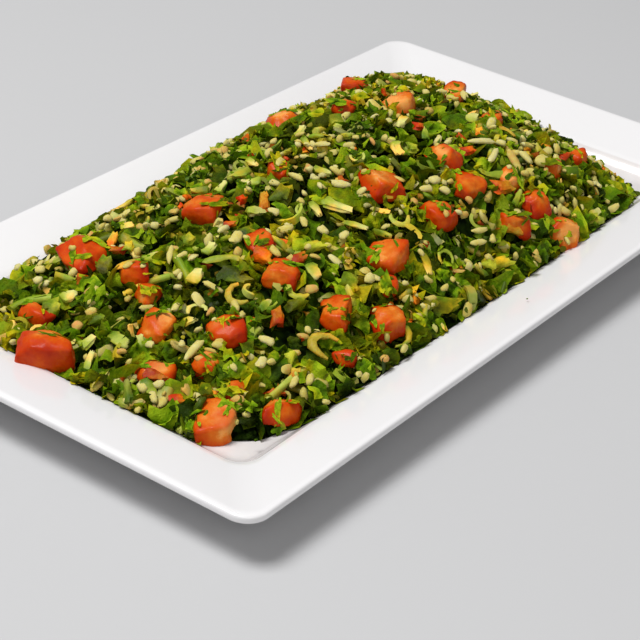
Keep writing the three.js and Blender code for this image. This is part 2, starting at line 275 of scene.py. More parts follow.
def seenAt(pixelX, pixelY):
    # the point of heap, tomato or dish that shows at a position in the camera's frame, and the normal there
    half = camera["frame"] / 2
    ray = camera["right"] * (pixelX - half) - camera["up"] * (pixelY - half) - cameraBack * focalPixels
    ray.normalize()
    low, high = camera["reach"]
    for _ in range(30):  # halve the stretch in which the ray meets the heap
        middle = (low + high) / 2
        point = camera["place"] + ray * middle
        if point.z > float(heapSurface(point.x, point.y)):
            low = middle
        else:
            high = middle
    point = camera["place"] + ray * low
    normal = Vector(liftedPoints(np.array([point.x]), np.array([point.y]))[1][0])
    for tree in (tomatoTree, dishTree):
        hit, facing, _, reach = tree.ray_cast(camera["place"], ray)
        if hit and reach < low:
            low, point, normal = reach, hit, facing
    return point, (normal + camera["faceOn"] * cameraBack).normalized()


def seenTurn(normal, degrees):
    # the direction on a face that shows at a turn in the frame, and its length for one that shows as 1
    side = (camera["right"] - normal * normal.dot(camera["right"])).normalized()
    other = normal.cross(side)
    seen = np.array([[side.dot(v), other.dot(v)] for v in (camera["right"], camera["up"])])
    share = np.linalg.solve(seen, (math.cos(math.radians(degrees)), math.sin(math.radians(degrees))))
    along = side * share[0] + other * share[1]
    longest = 1.5  # a piece seen nearly end on is not drawn out further
    return along.normalized(), min(along.length, longest)


# pieces that stand out: position, length and width in pixels of the camera's frame, turn in degrees,
# tone and number of the shape
placedScale = {"wedges": (0.88, 0.85)}  # of length and width
placed = {
    "wedges": [
        (338, 204, 38, 15, -20, 0.75, 0), (356, 223, 32, 8, -14, 0.62, 1), (314, 268, 22, 14, -60, 0.5, 2),
        (196, 274, 20, 15, 60, 0.8, 3), (190, 318, 17, 12, 10, 0.8, 4), (209, 246, 18, 12, 50, 0.78, 5),
        (221, 184, 17, 9, 55, 0.95, 6), (68, 294, 19, 15, 30, 0.85, 7), (87, 340, 21, 14, 40, 0.6, 0),
        (88, 360, 28, 8, 78, 0.62, 1), (118, 337, 28, 15, -30, 0.4, 2), (473, 116, 16, 14, 40, 0.8, 3),
        (426, 130, 17, 9, 88, 0.3, 4), (398, 146, 19, 13, -70, 0.85, 5), (519, 196, 22, 8, 65, 0.4, 6),
        (544, 183, 24, 9, -4, 0.42, 7), (597, 213, 15, 12, 35, 0.75, 0), (428, 262, 28, 10, -72, 0.45, 1),
        (126, 223, 17, 9, 15, 0.8, 2), (388, 178, 22, 8, 5, 0.3, 3), (298, 248, 12, 9, 80, 0.7, 4),
        (372, 300, 26, 13, 60, 0.5, 5), (402, 172, 24, 9, 30, 0.35, 6), (547, 256, 14, 7, -75, 0.5, 7),
        (487, 182, 26, 7, 10, 0.3, 1), (436, 329, 13, 9, 60, 0.8, 2), (330, 100, 18, 9, 10, 0.7, 4),
        (300, 128, 16, 9, 60, 0.7, 5), (152, 206, 18, 10, 20, 0.6, 6), (252, 160, 16, 9, -30, 0.75, 7),
    ],
    "chunks": [
        (236, 273, 38, 25, -20, 0.12, 0), (351, 280, 24, 19, -30, 0.55, 1), (283, 190, 25, 20, 70, 0.35, 2),
        (97, 317, 20, 14, 0, 0.35, 3), (188, 237, 18, 13, 10, 0.7, 4), (51, 306, 22, 20, 20, 0.5, 5),
        (449, 303, 34, 20, 15, 0.4, 0), (315, 244, 26, 12, 10, 0.9, 1), (414, 146, 13, 12, 0, 0.75, 2),
        (291, 355, 15, 13, 40, 0.95, 3), (128, 244, 13, 10, 60, 0.9, 4), (104, 262, 20, 16, 60, 0.3, 5),
        (510, 272, 17, 7, 5, 0.6, 1), (246, 230, 20, 14, 30, 0.3, 2), (491, 264, 18, 15, -50, 0.95, 3),
        (504, 262, 26, 13, 14, 0.85, 1), (296, 302, 26, 13, 20, 0.35, 3), (447, 214, 22, 16, 60, 0.2, 0),
        (66, 348, 14, 12, 0, 0.4, 4), (172, 366, 16, 12, 30, 0.4, 5),
    ],
    "pulp": [
        (257, 240, 22, 18, -60, 0.75, 0), (264, 252, 24, 18, -30, 0.4, 1), (264, 199, 26, 11, 95, 0.5, 2),
        (346, 358, 18, 13, 10, 0.5, 3), (277, 314, 24, 13, 80, 0.3, 4), (112, 237, 17, 9, 62, 0.75, 5),
        (34, 303, 18, 8, 85, 0.35, 0), (119, 377, 28, 12, 75, 0.2, 1), (506, 185, 24, 15, 10, 0.4, 2),
        (513, 222, 32, 16, -30, 0.55, 3), (480, 130, 12, 10, 80, 0.85, 4), (300, 256, 18, 12, 20, 0.1, 5),
        (156, 374, 26, 16, -20, 0.08, 0), (177, 398, 20, 13, 0, 0.1, 1), (420, 124, 14, 10, 0, 0.1, 2),
        (567, 154, 16, 9, 25, 0.05, 3), (296, 372, 16, 12, 60, 0.8, 4), (60, 330, 16, 9, 50, 0.4, 5),
        (470, 148, 16, 10, 20, 0.1, 2), (205, 366, 18, 11, 20, 0.45, 3), (230, 222, 14, 9, 10, 0.2, 0),
    ],
    "hooks": [
        (235, 293, 24, 17, 120, 0.8, 2), (323, 342, 25, 24, 60, 0.72, 2), (130, 261, 34, 12, 10, 0.95, 0),
        (503, 129, 26, 13, -5, 0.85, 1),
    ],
    "curls": [
        (196, 306, 22, 10, 10, 0.8, 2), (495, 171, 32, 10, 176, 0.3, 0), (401, 218, 22, 14, 175, 0.6, 2),
        (414, 228, 26, 8, -42, 0.5, 0), (402, 333, 26, 24, -60, 0.35, 3), (296, 290, 26, 12, 150, 0.5, 1),
        (222, 257, 41, 9, 4, 0.25, 0), (447, 255, 16, 15, 0, 0.4, 3),
    ],
    "slivers": [
        (482, 141, 30, 7, 3, 0.9, 0), (494, 155, 19, 6, 60, 0.9, 1), (515, 158, 28, 8, -63, 0.25, 2),
        (526, 157, 17, 7, -52, 0.7, 3), (480, 230, 17, 6, 12, 0.6, 4), (479, 242, 17, 6, 10, 0.6, 5),
        (170, 254, 19, 6, 80, 0.6, 6), (181, 255, 14, 5, 30, 0.6, 7), (194, 349, 28, 8, 50, 0.7, 0),
        (142, 387, 12, 9, -60, 0.7, 1), (159, 384, 12, 8, 20, 0.8, 2), (153, 397, 13, 7, -70, 0.7, 3),
        (163, 402, 11, 8, 75, 0.5, 4), (435, 180, 12, 9, 10, 0.8, 5), (445, 190, 12, 8, -30, 0.8, 6),
        (426, 188, 13, 8, 10, 0.6, 7), (40, 268, 11, 9, 0, 0.6, 1), (38, 280, 10, 8, 20, 0.9, 2),
        (218, 213, 13, 10, 60, 0.4, 3), (219, 342, 13, 11, 30, 0.4, 4), (543, 158, 13, 12, 30, 0.5, 5),
        (537, 254, 9, 9, 0, 0.2, 6), (274, 211, 12, 8, -20, 0.8, 7), (237, 236, 15, 11, 60, 0.6, 1),
        (275, 250, 14, 7, -50, 0.5, 2), (312, 287, 14, 9, 10, 0.3, 3), (370, 278, 11, 10, 60, 0.8, 4),
        (286, 228, 16, 9, 10, 0.5, 5), (304, 221, 12, 7, -70, 0.5, 6), (267, 340, 17, 9, -20, 0.8, 7),
        (262, 362, 13, 9, 60, 0.8, 1), (341, 184, 21, 8, -8, 0.8, 2), (323, 230, 12, 8, -40, 0.8, 3),
    ],
    "crumbs": [
        (547, 135, 2, 1.6, 0, 0.1, 0), (527, 300, 1.8, 1.6, 30, 0.3, 1), (32, 233, 1.6, 1.2, 0, 0.6, 2),
        (256, 440, 4, 3, 20, 0.1, 3), (590, 130, 1.6, 1.3, 0, 0.2, 5),
    ],
}
# the heap's upper outline in the same pixels, from left to right
skyline = [
    (0, 282), (40, 251), (80, 231), (120, 207), (160, 180), (200, 151), (240, 138), (280, 111), (320, 103),
    (345, 82), (380, 73), (420, 75), (480, 95), (520, 112), (560, 134), (600, 164), (640, 196),
]
# dark gaps in the heap and bare places on the dish beside it: position and diameter in the same pixels
gaps = [
    (322, 217, 30), (306, 214, 22), (222, 265, 22), (184, 288, 24), (219, 302, 18), (319, 282, 18),
    (281, 335, 22), (246, 344, 18), (35, 290, 20), (98, 326, 20), (447, 116, 20), (502, 202, 18),
    (533, 148, 16), (422, 279, 22), (200, 378, 28), (232, 288, 18), (372, 262, 18), (262, 215, 16),
    (488, 205, 16),
]
bare = [
    (106, 414, 18), (128, 420, 20), (150, 424, 24), (172, 432, 22), (352, 402, 20), (372, 388, 22),
    (392, 378, 22), (412, 366, 20), (434, 350, 26), (266, 446, 36), (254, 432, 46), (44, 350, 40),
    (222, 424, 40), (246, 420, 24),
]


def pixelSize(point):
    return (point - camera["place"]).length / focalPixels


def circlesAt(rows):
    # position and radius on the heap of circles whose position and diameter are in pixels
    circles = []
    for x, y, width in rows:
        point = seenAt(x, y)[0]
        circles.append((point.x, point.y, width / 2 * pixelSize(point)))
    return np.array(circles)


# the scattered pieces leave the placed ones in sight
keepClear = 0.64  # diameter of the clear circle, as a share of a placed piece's length and width together
gapClear = 0.85  # nothing starts within this share of a gap
keepOut = circlesAt([
    (x, y, keepClear * (length + width)) for rows in placed.values() for x, y, length, width, *_ in rows])
gapCircles = circlesAt(gaps)
bareCircles = np.concatenate([circlesAt(bare), gapCircles * (1, 1, gapClear)])


def placedSpots(label, shapes, flatness=0.6, sunk=0.0012):
    # the spots of the placed pieces of one kind, at their true size
    spots = {name: [] for name in ("places", "axes", "sizes", "tone", "shade", "kind")}
    longer, wider = placedScale.get(label, (1, 1))
    foreshortened = 1.15  # the width shows a little narrower than it is
    for x, y, length, width, turn, tone, kind in placed[label]:
        point, normal = seenAt(x, y)
        along, grown = seenTurn(normal, turn)
        length, width = longer * length, wider * width
        size = np.array([length * grown, foreshortened * width, flatness * width]) * pixelSize(point)
        spots["places"].append(point - normal * sunk)
        spots["axes"].append(np.array([along, normal.cross(along), normal]).T)
        spots["sizes"].append(size / np.ptp(shapes[kind]["points"], axis=0))
        spots["tone"].append(tone)
        spots["shade"].append(0.0)
        spots["kind"].append(kind)
    return {name: np.array(values) for name, values in spots.items()}


def distanceTo(circles, places):
    # from each place to the nearest circle, below 0 inside it
    apart = np.hypot(places[:, :1] - circles[:, 0], places[:, 1:2] - circles[:, 1]) - circles[:, 2]
    return apart.min(1)


def bothSpots(one, two):
    return {name: np.concatenate([one[name], two[name]]) for name in one}


def clearOfTomatoes(points, allowed, above=0.0):
    # which copies have at most the allowed share of their vertices inside a tomato or close above it
    keep = np.ones(len(points), bool)
    drops = [Vector((0, 0, -drop)) for drop in sorted({0.0, above})]
    centres = points.mean(1)
    reach = np.linalg.norm(points - centres[:, None], axis=2).max(1)
    for n, centre in enumerate(centres):
        near = np.linalg.norm(tomatoCentres - centre, axis=1) < tomatoReach + reach[n] + above
        if not near.any():
            continue
        for drop in drops:
            inside = 0
            for point in points[n]:
                tested = Vector(point) + drop
                place, normal, _, _ = tomatoTree.find_nearest(tested)
                inside += (tested - place).dot(normal) < 0
            keep[n] &= inside <= allowed * len(points[n])
    return keep


def shapeOf(bm):
    # a finished shape as arrays, with how far along it each vertex lies, or on leaves and clumps the painted
    # highlight and shade kept in the same layer
    bmesh.ops.recalc_face_normals(bm, faces=bm.faces)
    bm.verts.index_update()
    layer = bm.verts.layers.float.get("along")
    shape = {
        "points": np.array([v.co[:] for v in bm.verts]),
        "along": np.array([v[layer] if layer else 0.5 for v in bm.verts]),
        "corners": np.array([v.index for f in bm.faces for v in f.verts]),
        "sides": np.array([len(f.verts) for f in bm.faces]),
    }
    bm.free()
    return shape


def roundedCube(bm, roundness):
    bmesh.ops.create_cube(bm, size=1)
    bmesh.ops.subdivide_edges(bm, edges=bm.edges[:], cuts=2, use_grid_fill=True)
    for v in bm.verts:
        v.co = v.co.lerp(v.co.normalized() * 0.6, roundness)


def markAlong(bm, length):
    layer = bm.verts.layers.float.new("along")
    for v in bm.verts:
        v[layer] = v.co.x / length + 0.5
    return layer


def turns(normals, rng, lean):
    # for each copy the axes of a piece laid on the slope, turned and leant at random
    count = len(normals)
    yaw = rng.uniform(0, 2 * np.pi, count)
    helper = np.where(np.abs(normals[:, :1]) < 0.9, [[1.0, 0, 0]], [[0, 1.0, 0]])
    side = np.cross(normals, helper)
    side /= np.linalg.norm(side, axis=1, keepdims=True)
    other = np.cross(normals, side)
    along = side * np.cos(yaw)[:, None] + other * np.sin(yaw)[:, None]
    across = np.cross(normals, along)
    pitch = rng.normal(0, lean, count)[:, None]
    roll = rng.normal(0, lean, count)[:, None]
    out = normals * np.cos(pitch) - along * np.sin(pitch)
    along = along * np.cos(pitch) + normals * np.sin(pitch)
    across, out = across * np.cos(roll) + out * np.sin(roll), out * np.cos(roll) - across * np.sin(roll)
    return np.stack([along, across, out], -1)


def aboveSkyline(points):
    # how many pixels each copy shows above the heap's outline, and the size of a pixel there
    away = points - np.array(camera["place"])
    depth = -away @ np.array(cameraBack)
    pixelX = camera["frame"] / 2 + focalPixels * (away @ np.array(camera["right"])) / depth
    pixelY = camera["frame"] / 2 - focalPixels * (away @ np.array(camera["up"])) / depth
    lineX, lineY = np.array(skyline).T
    return (np.interp(pixelX, lineX, lineY) - pixelY).max(1), depth.mean(1) / focalPixels


def backIntoWell(points, middles, slack):
    # the move that keeps each copy with its middle in the well off the rim
    wellX = platterHigh.x - platter["rimOnShortSide"]
    wellY = platterHigh.y - platter["rimOnLongSide"]
    move = np.zeros((len(points), 1, 3))
    for axis, side, edge in ((0, -1, wellX), (0, 1, wellX), (1, -1, wellY), (1, 1, wellY + heap["shift"])):
        past = np.clip((side * points[..., axis]).max(1) - edge - slack, 0, fitting["wellMove"])
        move[:, 0, axis] -= side * np.where(side * middles[:, axis] < edge + fitting["wellMargin"], past, 0)
    return move


def fittedCopies(shape, spots, drape):
    # the vertices of every copy of a shape, moved to lie in the well, under the heap's outer surface
    # and on the dish, and which of the copies fit
    bright, middles = spots["tone"], spots["places"]
    scaled = spots["axes"] * spots["sizes"][:, None, :]
    copies = np.einsum("nij,vj->nvi", scaled, shape["points"]) + middles[:, None, :]
    copies += backIntoWell(copies, middles, fitting["rimSlack"] + fitting["brightSlack"] * bright ** 3)
    roof = heapSurface(copies[..., 0], copies[..., 1]) - dentDepth(copies[..., 0], copies[..., 1])
    standOut = heap["standOut"] * (1 + fitting["brightStandOut"] * bright ** 3)
    roof = np.maximum(roof, wellEdge + fitting["roofOverRim"]) + standOut[:, None]
    tooHigh = np.clip((copies[..., 2] - roof).max(1), 0, fitting["lowering"])
    over, pixel = aboveSkyline(copies - tooHigh[:, None, None] * (0, 0, 1))
    over -= fitting["outlinePixels"] + fitting["brightPixels"] * bright ** 2
    tooHigh += np.clip(over * pixel / camera["up"].z, 0, fitting["outlineLowering"])
    surface = np.maximum(heapSurface(middles[:, 0], middles[:, 1]), wellEdge + fitting["roofOverRim"])
    onDie = middles[:, 2] > surface + fitting["dieClear"]
    copies[..., 2] -= np.where(onDie, 0, tooHigh)[:, None]
    under = dishTop(copies) + fitting["dishGap"] - copies[..., 2]
    if drape:
        copies[..., 2] += np.maximum(under, 0)
    else:
        copies[..., 2] += np.maximum(under.max(1), 0)[:, None]
    lift = fitting["drapeLift" if drape else "stiffLift"]
    return copies, (under.max(1) < lift) & (aboveSkyline(copies)[0] < fitting["pixelLimit"])


def newObject(name, data):
    thing = bpy.data.objects.new(name, data)
    bpy.context.scene.collection.objects.link(thing)
    return thing


def smoothObject(name, bm):
    mesh = bpy.data.meshes.new(name)
    bm.to_mesh(mesh)
    bm.free()
    mesh.polygons.foreach_set("use_smooth", [True] * len(mesh.polygons))
    return newObject(name, mesh)


def printTriangles(piece):
    piece.data.calc_loop_triangles()
    print(f"  {piece.name}: {len(piece.data.loop_triangles)} triangles")


def joinCopies(name, shapes, spots, drape=False, allowed=0.12, above=0.0):
    # spots: places, axes, sizes, tone, shade and shape number of every copy
    parts = {label: [] for label in ("points", "corners", "sides", "along", "tone", "shade")}
    vertexCount = 0
    for index, shape in enumerate(shapes):
        chosen = {label: values[spots["kind"] == index] for label, values in spots.items()}
        copies, kept = fittedCopies(shape, chosen, drape)
        if allowed < 1:
            kept &= clearOfTomatoes(copies, allowed, above)
        count, size = kept.sum(), copies.shape[1]
        offsets = vertexCount + np.arange(count)[:, None] * size
        parts["points"].append(copies[kept].reshape(-1, 3))
        parts["corners"].append((shape["corners"][None] + offsets).ravel())
        parts["sides"].append(np.tile(shape["sides"], count))
        parts["along"].append(np.tile(shape["along"], count))
        for label in ("tone", "shade"):
            parts[label].append(np.repeat(chosen[label][kept], size))
        vertexCount += count * size
    whole = {label: np.concatenate(values) for label, values in parts.items()}
    mesh = bpy.data.meshes.new(name)
    mesh.vertices.add(len(whole["points"]))
    mesh.vertices.foreach_set("co", whole["points"].ravel().astype(np.float32))
    mesh.loops.add(whole["corners"].size)
    mesh.loops.foreach_set("vertex_index", whole["corners"].astype(np.int32))
    mesh.polygons.add(whole["sides"].size)
    starts = np.cumsum(whole["sides"]) - whole["sides"]
    mesh.polygons.foreach_set("loop_start", starts.astype(np.int32))
    mesh.update(calc_edges=True)
    mesh.polygons.foreach_set("use_smooth", np.ones(whole["sides"].size, bool))
    mesh.set_sharp_from_angle(angle=math.radians(fitting["sharpFrom"]))
    for label in ("along", "tone", "shade"):
        attribute = mesh.attributes.new(label, "FLOAT", "POINT")
        attribute.data.foreach_set("value", whole[label].astype(np.float32))
    piece = newObject(name, mesh)
    printTriangles(piece)
    return piece


def spotsFor(kind):
    # copies all over the heap. In kind, depth is how far under the outer surface their middles lie, lean how
    # far they turn out of it, size and spread how much they grow as a whole and along each axis, and tone
    # the two numbers of a beta distribution
    rng = np.random.default_rng(kind["seed"])
    count, depth = kind["count"], kind["depth"]
    places, normals = surfacePoints(count, rng, kind.get("footShare", heap["footShare"]))
    sink = rng.uniform(*depth, count)
    sizes = np.clip(rng.normal(1, kind["spread"], (count, 3)), *scatter["grown"])
    sizes *= rng.uniform(*kind["size"], count)[:, None]
    top = depth[0] + scatter["litShare"] * (depth[1] - depth[0])
    scale = scatter["driftScale"]
    drift = heap["drift"] * lumps(scale * places[:, 1] + scatter["driftShift"], scale * places[:, 0])
    spots = {
        "places": places - normals * sink[:, None],
        "axes": turns(normals, rng, kind["lean"]),
        "sizes": sizes,
        "tone": np.clip(rng.beta(*kind["tone"], count) + drift, 0, 1),
        # painted shade: 0 for the pieces near the outer surface, up to 1 for the deepest
        "shade": np.clip((sink - top) / (depth[1] - top), 0, 1),
        "kind": rng.integers(0, kind["shapes"], count),
    }
    kept = (sink > heap["hollowDepth"]) | (hollows(places[:, 0], places[:, 1]) < 0.5)
    kept &= (sink > scatter["underPlaced"]) | (distanceTo(keepOut, places) > 0)
    kept &= distanceTo(bareCircles, places) > 0
    return {label: values[kept] for label, values in spots.items()}


def shapesOf(makeShape, kind):
    return [makeShape(number) for number in range(kind["shapes"])]


def finishPiece(piece, material, slotName, *replaced):
    piece.data.materials.clear()
    piece.data.materials.append(material)
    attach(piece, "root")
    if replaced:
        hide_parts(*replaced)
    return piece


def addNode(tree, kind, **settings):
    node = tree.nodes.new(kind)
    for label, value in settings.items():
        setattr(node, label, value)
    return node


def feed(tree, socket, value):
    # a number or colour is set on the socket, and an output is linked to it
    if isinstance(value, (int, float, tuple)):
        socket.default_value = value
    else:
        tree.links.new(value, socket)


def newMaterial(name, **sockets):
    material = bpy.data.materials.new(name)
    material.use_nodes = True
    shader = material.node_tree.nodes["Principled BSDF"]
    for label, value in sockets.items():
        shader.inputs[label.replace("_", " ")].default_value = value
    return material, material.node_tree, shader


def attributeValue(tree, label):
    return addNode(tree, "ShaderNodeAttribute", attribute_name=label).outputs["Fac"]


def makeGroup(name, inputs, outputs):
    group = bpy.data.node_groups.new(name, "ShaderNodeTree")
    for label, kind, value in inputs:
        socket = group.interface.new_socket(name=label, in_out="INPUT", socket_type=kind)
        socket.default_value = value
    for label, kind in outputs:
        group.interface.new_socket(name=label, in_out="OUTPUT", socket_type=kind)
    return group, addNode(group, "NodeGroupInput"), addNode(group, "NodeGroupOutput")


def useGroup(tree, group, **values):
    node = addNode(tree, "ShaderNodeGroup", node_tree=group)
    for label, value in values.items():
        node.inputs[label].default_value = value
    return node


def math2(tree, operation, first, second):
    node = addNode(tree, "ShaderNodeMath", operation=operation)
    feed(tree, node.inputs[0], first)
    feed(tree, node.inputs[1], second)
    return node.outputs[0]


def mixColours(tree, factor, first, second, blend="MIX"):
    node = addNode(tree, "ShaderNodeMix", data_type="RGBA", blend_type=blend)
    # the node has sockets for other kinds too; these are the factor and the two colours
    for number, value in ((0, factor), (6, first), (7, second)):
        feed(tree, node.inputs[number], value)
    return node.outputs[2]


def noiseLevel(tree, place, scale, detail=2.0, roughness=0.5):
    cloud = addNode(tree, "ShaderNodeTexNoise")
    for label, value in (("Vector", place), ("Scale", scale), ("Detail", detail), ("Roughness", roughness)):
        feed(tree, cloud.inputs[label], value)
    return cloud.outputs["Fac"]


def swingOf(tree, level, amount):
    # how far a level from 0 to 1 lies from its middle, times an amount
    return math2(tree, "MULTIPLY", math2(tree, "SUBTRACT", level, 0.5), amount)


def levelBetween(tree, level, low, high):
    # 0 below low, 1 above high and even in between
    node = addNode(tree, "ShaderNodeMapRange")
    for label, value in (("Value", level), ("From Min", low), ("From Max", high)):
        feed(tree, node.inputs[label], value)
    return node.outputs[0]


def addBump(tree, shader, height, strength, distance):
    bump = addNode(tree, "ShaderNodeBump")
    for label, value in (("Strength", strength), ("Distance", distance), ("Height", height)):
        feed(tree, bump.inputs[label], value)
    tree.links.new(bump.outputs["Normal"], shader.inputs["Normal"])


def colourRamp(tree, level, stops):
    ramp = addNode(tree, "ShaderNodeValToRGB")
    while len(ramp.color_ramp.elements) < len(stops):
        ramp.color_ramp.elements.new(0.5)
    for element, (position, colour) in zip(ramp.color_ramp.elements, stops):
        element.position = position
        element.color = colour
    tree.links.new(level, ramp.inputs["Fac"])
    return ramp.outputs["Color"]


def plantGroup():
    # colour of a leafy piece: tone picks it from dark to bright, Shade is painted shade that darkens the
    # deeper pieces, mottle breaks it up
    group, given, result = makeGroup("plantTone", [
        ("Dark", "NodeSocketColor", (0.01, 0.04, 0.004, 1)),
        ("Middle", "NodeSocketColor", (0.04, 0.14, 0.01, 1)),
        ("Bright", "NodeSocketColor", (0.2, 0.36, 0.04, 1)),
        ("Tone", "NodeSocketFloat", 0.5),
        ("Shade", "NodeSocketFloat", 0.0),
        ("Mottle", "NodeSocketFloat", 0.35),
        ("Size", "NodeSocketFloat", 300.0),
        ("Juice", "NodeSocketFloat", 0.8),
        ("Along", "NodeSocketFloat", 0.5),
        ("Gradient", "NodeSocketFloat", 0.0),
    ], [("Colour", "NodeSocketColor"), ("Height", "NodeSocketFloat")])
    value = given.outputs
    place = addNode(group, "ShaderNodeTexCoord").outputs["Object"]
    cloud = noiseLevel(group, place, value["Size"], 5, 0.65)
    swing = math2(group, "MULTIPLY", swingOf(group, cloud, 2.0), value["Mottle"])
    # Along with Gradient shifts the tone along a piece; on ribbons, leaflets and clumps Along holds painted
    # highlights on crests and painted shade in folds
    lengthShiftAndCrestLight = swingOf(group, value["Along"], value["Gradient"])
    level = math2(group, "ADD", math2(group, "ADD", value["Tone"], swing), lengthShiftAndCrestLight)
    colour = mixColours(group, levelBetween(group, level, 0, 0.5), value["Dark"], value["Middle"])
    colour = mixColours(group, levelBetween(group, level, 0.5, 1), colour, value["Bright"])
    soaked = levelBetween(group, noiseLevel(group, place, 95), 0.46, 0.62)
    warm = mixColours(group, 1.0, colour, (1.85, 0.97, 0.42, 1), "MULTIPLY")
    colour = mixColours(group, math2(group, "MULTIPLY", soaked, value["Juice"]), colour, warm)
    # painted shade: the deeper a piece lies in the heap, the nearer its colour goes to near black
    dim = math2(group, "MULTIPLY", value["Shade"], 0.72)
    colour = mixColours(group, dim, colour, (0.005, 0.009, 0.001, 1))
    group.links.new(colour, result.inputs["Colour"])
    fine = noiseLevel(group, place, math2(group, "MULTIPLY", value["Size"], 2.5))
    group.links.new(fine, result.inputs["Height"])
    return group


plantTone = plantGroup()


def plantMaterial(name, dark, middle, bright, mottle, size, relief, gradient=0.0, **sockets):
    material, tree, shader = newMaterial(name, **sockets)
    tint = useGroup(tree, plantTone, Dark=dark, Middle=middle, Bright=bright, Mottle=mottle, Size=size,
                    Gradient=gradient)
    for label in ("Along", "Tone", "Shade"):
        tree.links.new(attributeValue(tree, label.lower()), tint.inputs[label])
    tree.links.new(tint.outputs["Colour"], shader.inputs["Base Color"])
    addBump(tree, shader, tint.outputs["Height"], relief, 0.0007)
    return material


def platterRing(share, inwards, z, radius, drop):
    # points of a rounded rectangle: share 0 is the lip and 1 the well's edge
    halfX = platterHigh.x - platter["rimOnShortSide"] * share - inwards
    halfY = platterHigh.y - platter["rimOnLongSide"] * share - inwards
    points = []
    for quarter, (signX, signY) in enumerate(((1, 1), (-1, 1), (-1, -1), (1, -1))):
        for step in range(platter["cornerSteps"] + 1):
            angle = (quarter + step / platter["cornerSteps"]) * math.pi / 2
            x = signX * (halfX - radius) + radius * math.cos(angle)
            y = signY * (halfY - radius) + radius * math.sin(angle)
            sag = drop * (x / halfX) ** 2 * (y / halfY) ** 2
            points.append(Vector((x, y, z - sag)))
    return points


def roundedProfile(corners):
    # each inner corner of the profile becomes a short curve that cuts back by its own length
    rings = [corners[0][:-1]]
    for before, here, after in zip(corners, corners[1:], corners[2:]):
        cut = here[-1]
        if not cut:
            rings.append(here[:-1])
            continue
        a, b, c = (np.array(corner[:-1]) for corner in (before, here, after))
        plane = np.array([platter["rimOnLongSide"], 1, 1])
        backLength = np.linalg.norm((a - b)[:3] * plane)
        onLength = np.linalg.norm((c - b)[:3] * plane)
        start = b + (a - b) * min(cut / backLength, 0.5)
        end = b + (c - b) * min(cut / onLength, 0.5)
        for step in range(platter["roundSteps"] + 1):
            t = step / platter["roundSteps"]
            rings.append(tuple((1 - t) ** 2 * start + 2 * t * (1 - t) * b + t * t * end))
    rings.append(corners[-1][:-1])
    return rings


def buildPlatter():
    p = platter
    foot = p["footInset"] + p["footWidth"]
    sag, corner = p["cornerDrop"], p["outerCorner"]
    underLip = lipTop - p["lipDepth"]
    # from the underside round the lip into the well: share, inwards, height, corner radius, drop and
    # how much of the profile's corner is cut back
    profile = roundedProfile([
        (1, foot + 0.006, p["footRecess"], 0.002, 0, 0),
        (1, foot + 0.001, p["footRecess"], 0.003, 0, 0.0006),
        (1, foot, 0, 0.004, 0, 0.0006),
        (1, p["footInset"], 0, 0.007, 0, 0.001),
        (1, p["footInset"] - 0.0015, p["footRecess"], 0.008, 0, 0.0015),
        (0.92, 0, wellEdge - p["rimThickness"], p["wellCorner"], sag * 0.2, 0.006),
        (0, 0.0015, underLip, corner - 0.001, sag, 0.0014),
        (0, 0, underLip + p["lipRound"], corner, sag, 0.0007),
        (0, 0, lipTop - 0.0005, corner, sag, 0.0009),
        (0, 0.0016, lipTop, corner - 0.001, sag, 0.0014),
        (0.96, 0, wellEdge + 0.0005, p["wellCorner"], sag * 0.2, 0.0016),
        (1, 0.001, wellEdge - 0.0008, p["wellCorner"] - 0.0005, 0, 0.0016),
        (1, p["wellWall"], wellFloor + 0.0006, p["wellCorner"] - 0.003, 0, 0.0018),
        (1, p["wellWall"] + 0.003, wellFloor, p["wellCorner"] - 0.005, 0, 0.001),
        (1, p["wellWall"] + 0.008, wellFloor, p["wellCorner"] - 0.006, 0, 0),
    ])
    bm = bmesh.new()
    count = 4 * (p["cornerSteps"] + 1)
    bmesh.ops.create_circle(bm, segments=count, radius=1)
    bm.verts.ensure_lookup_table()
    ring = list(bm.verts)
    edges = list(bm.edges)
    for v, point in zip(ring, platterRing(*profile[0])):
        v.co = point
    bmesh.ops.edgeloop_fill(bm, edges=edges)
    for values in profile[1:]:
        grown = bmesh.ops.extrude_edge_only(bm, edges=edges)["geom"]
        edges = [e for e in grown if isinstance(e, bmesh.types.BMEdge)]
        fresh = {v for v in grown if isinstance(v, bmesh.types.BMVert)}
        nextRing = []
        for v in ring:
            nextRing.append(next(e.other_vert(v) for e in v.link_edges if e.other_vert(v) in fresh))
        ring = nextRing
        for v, point in zip(ring, platterRing(*values)):
            v.co = point
    bmesh.ops.edgeloop_fill(bm, edges=edges)
    bmesh.ops.recalc_face_normals(bm, faces=bm.faces)
    wellStainAndShade = bm.verts.layers.float.new("wellStainAndShade")
    # the well's floor and wall, which the glaze colours with a juice stain and painted shade
    for v in bm.verts:
        v[wellStainAndShade] = float(v.normal.z > 0.1 and v.co.z < wellEdge - 0.0004)
    piece = smoothObject("glazedPlatter", bm)
    piece.data.set_sharp_from_angle(angle=math.radians(p["sharpFrom"]))
    return piece


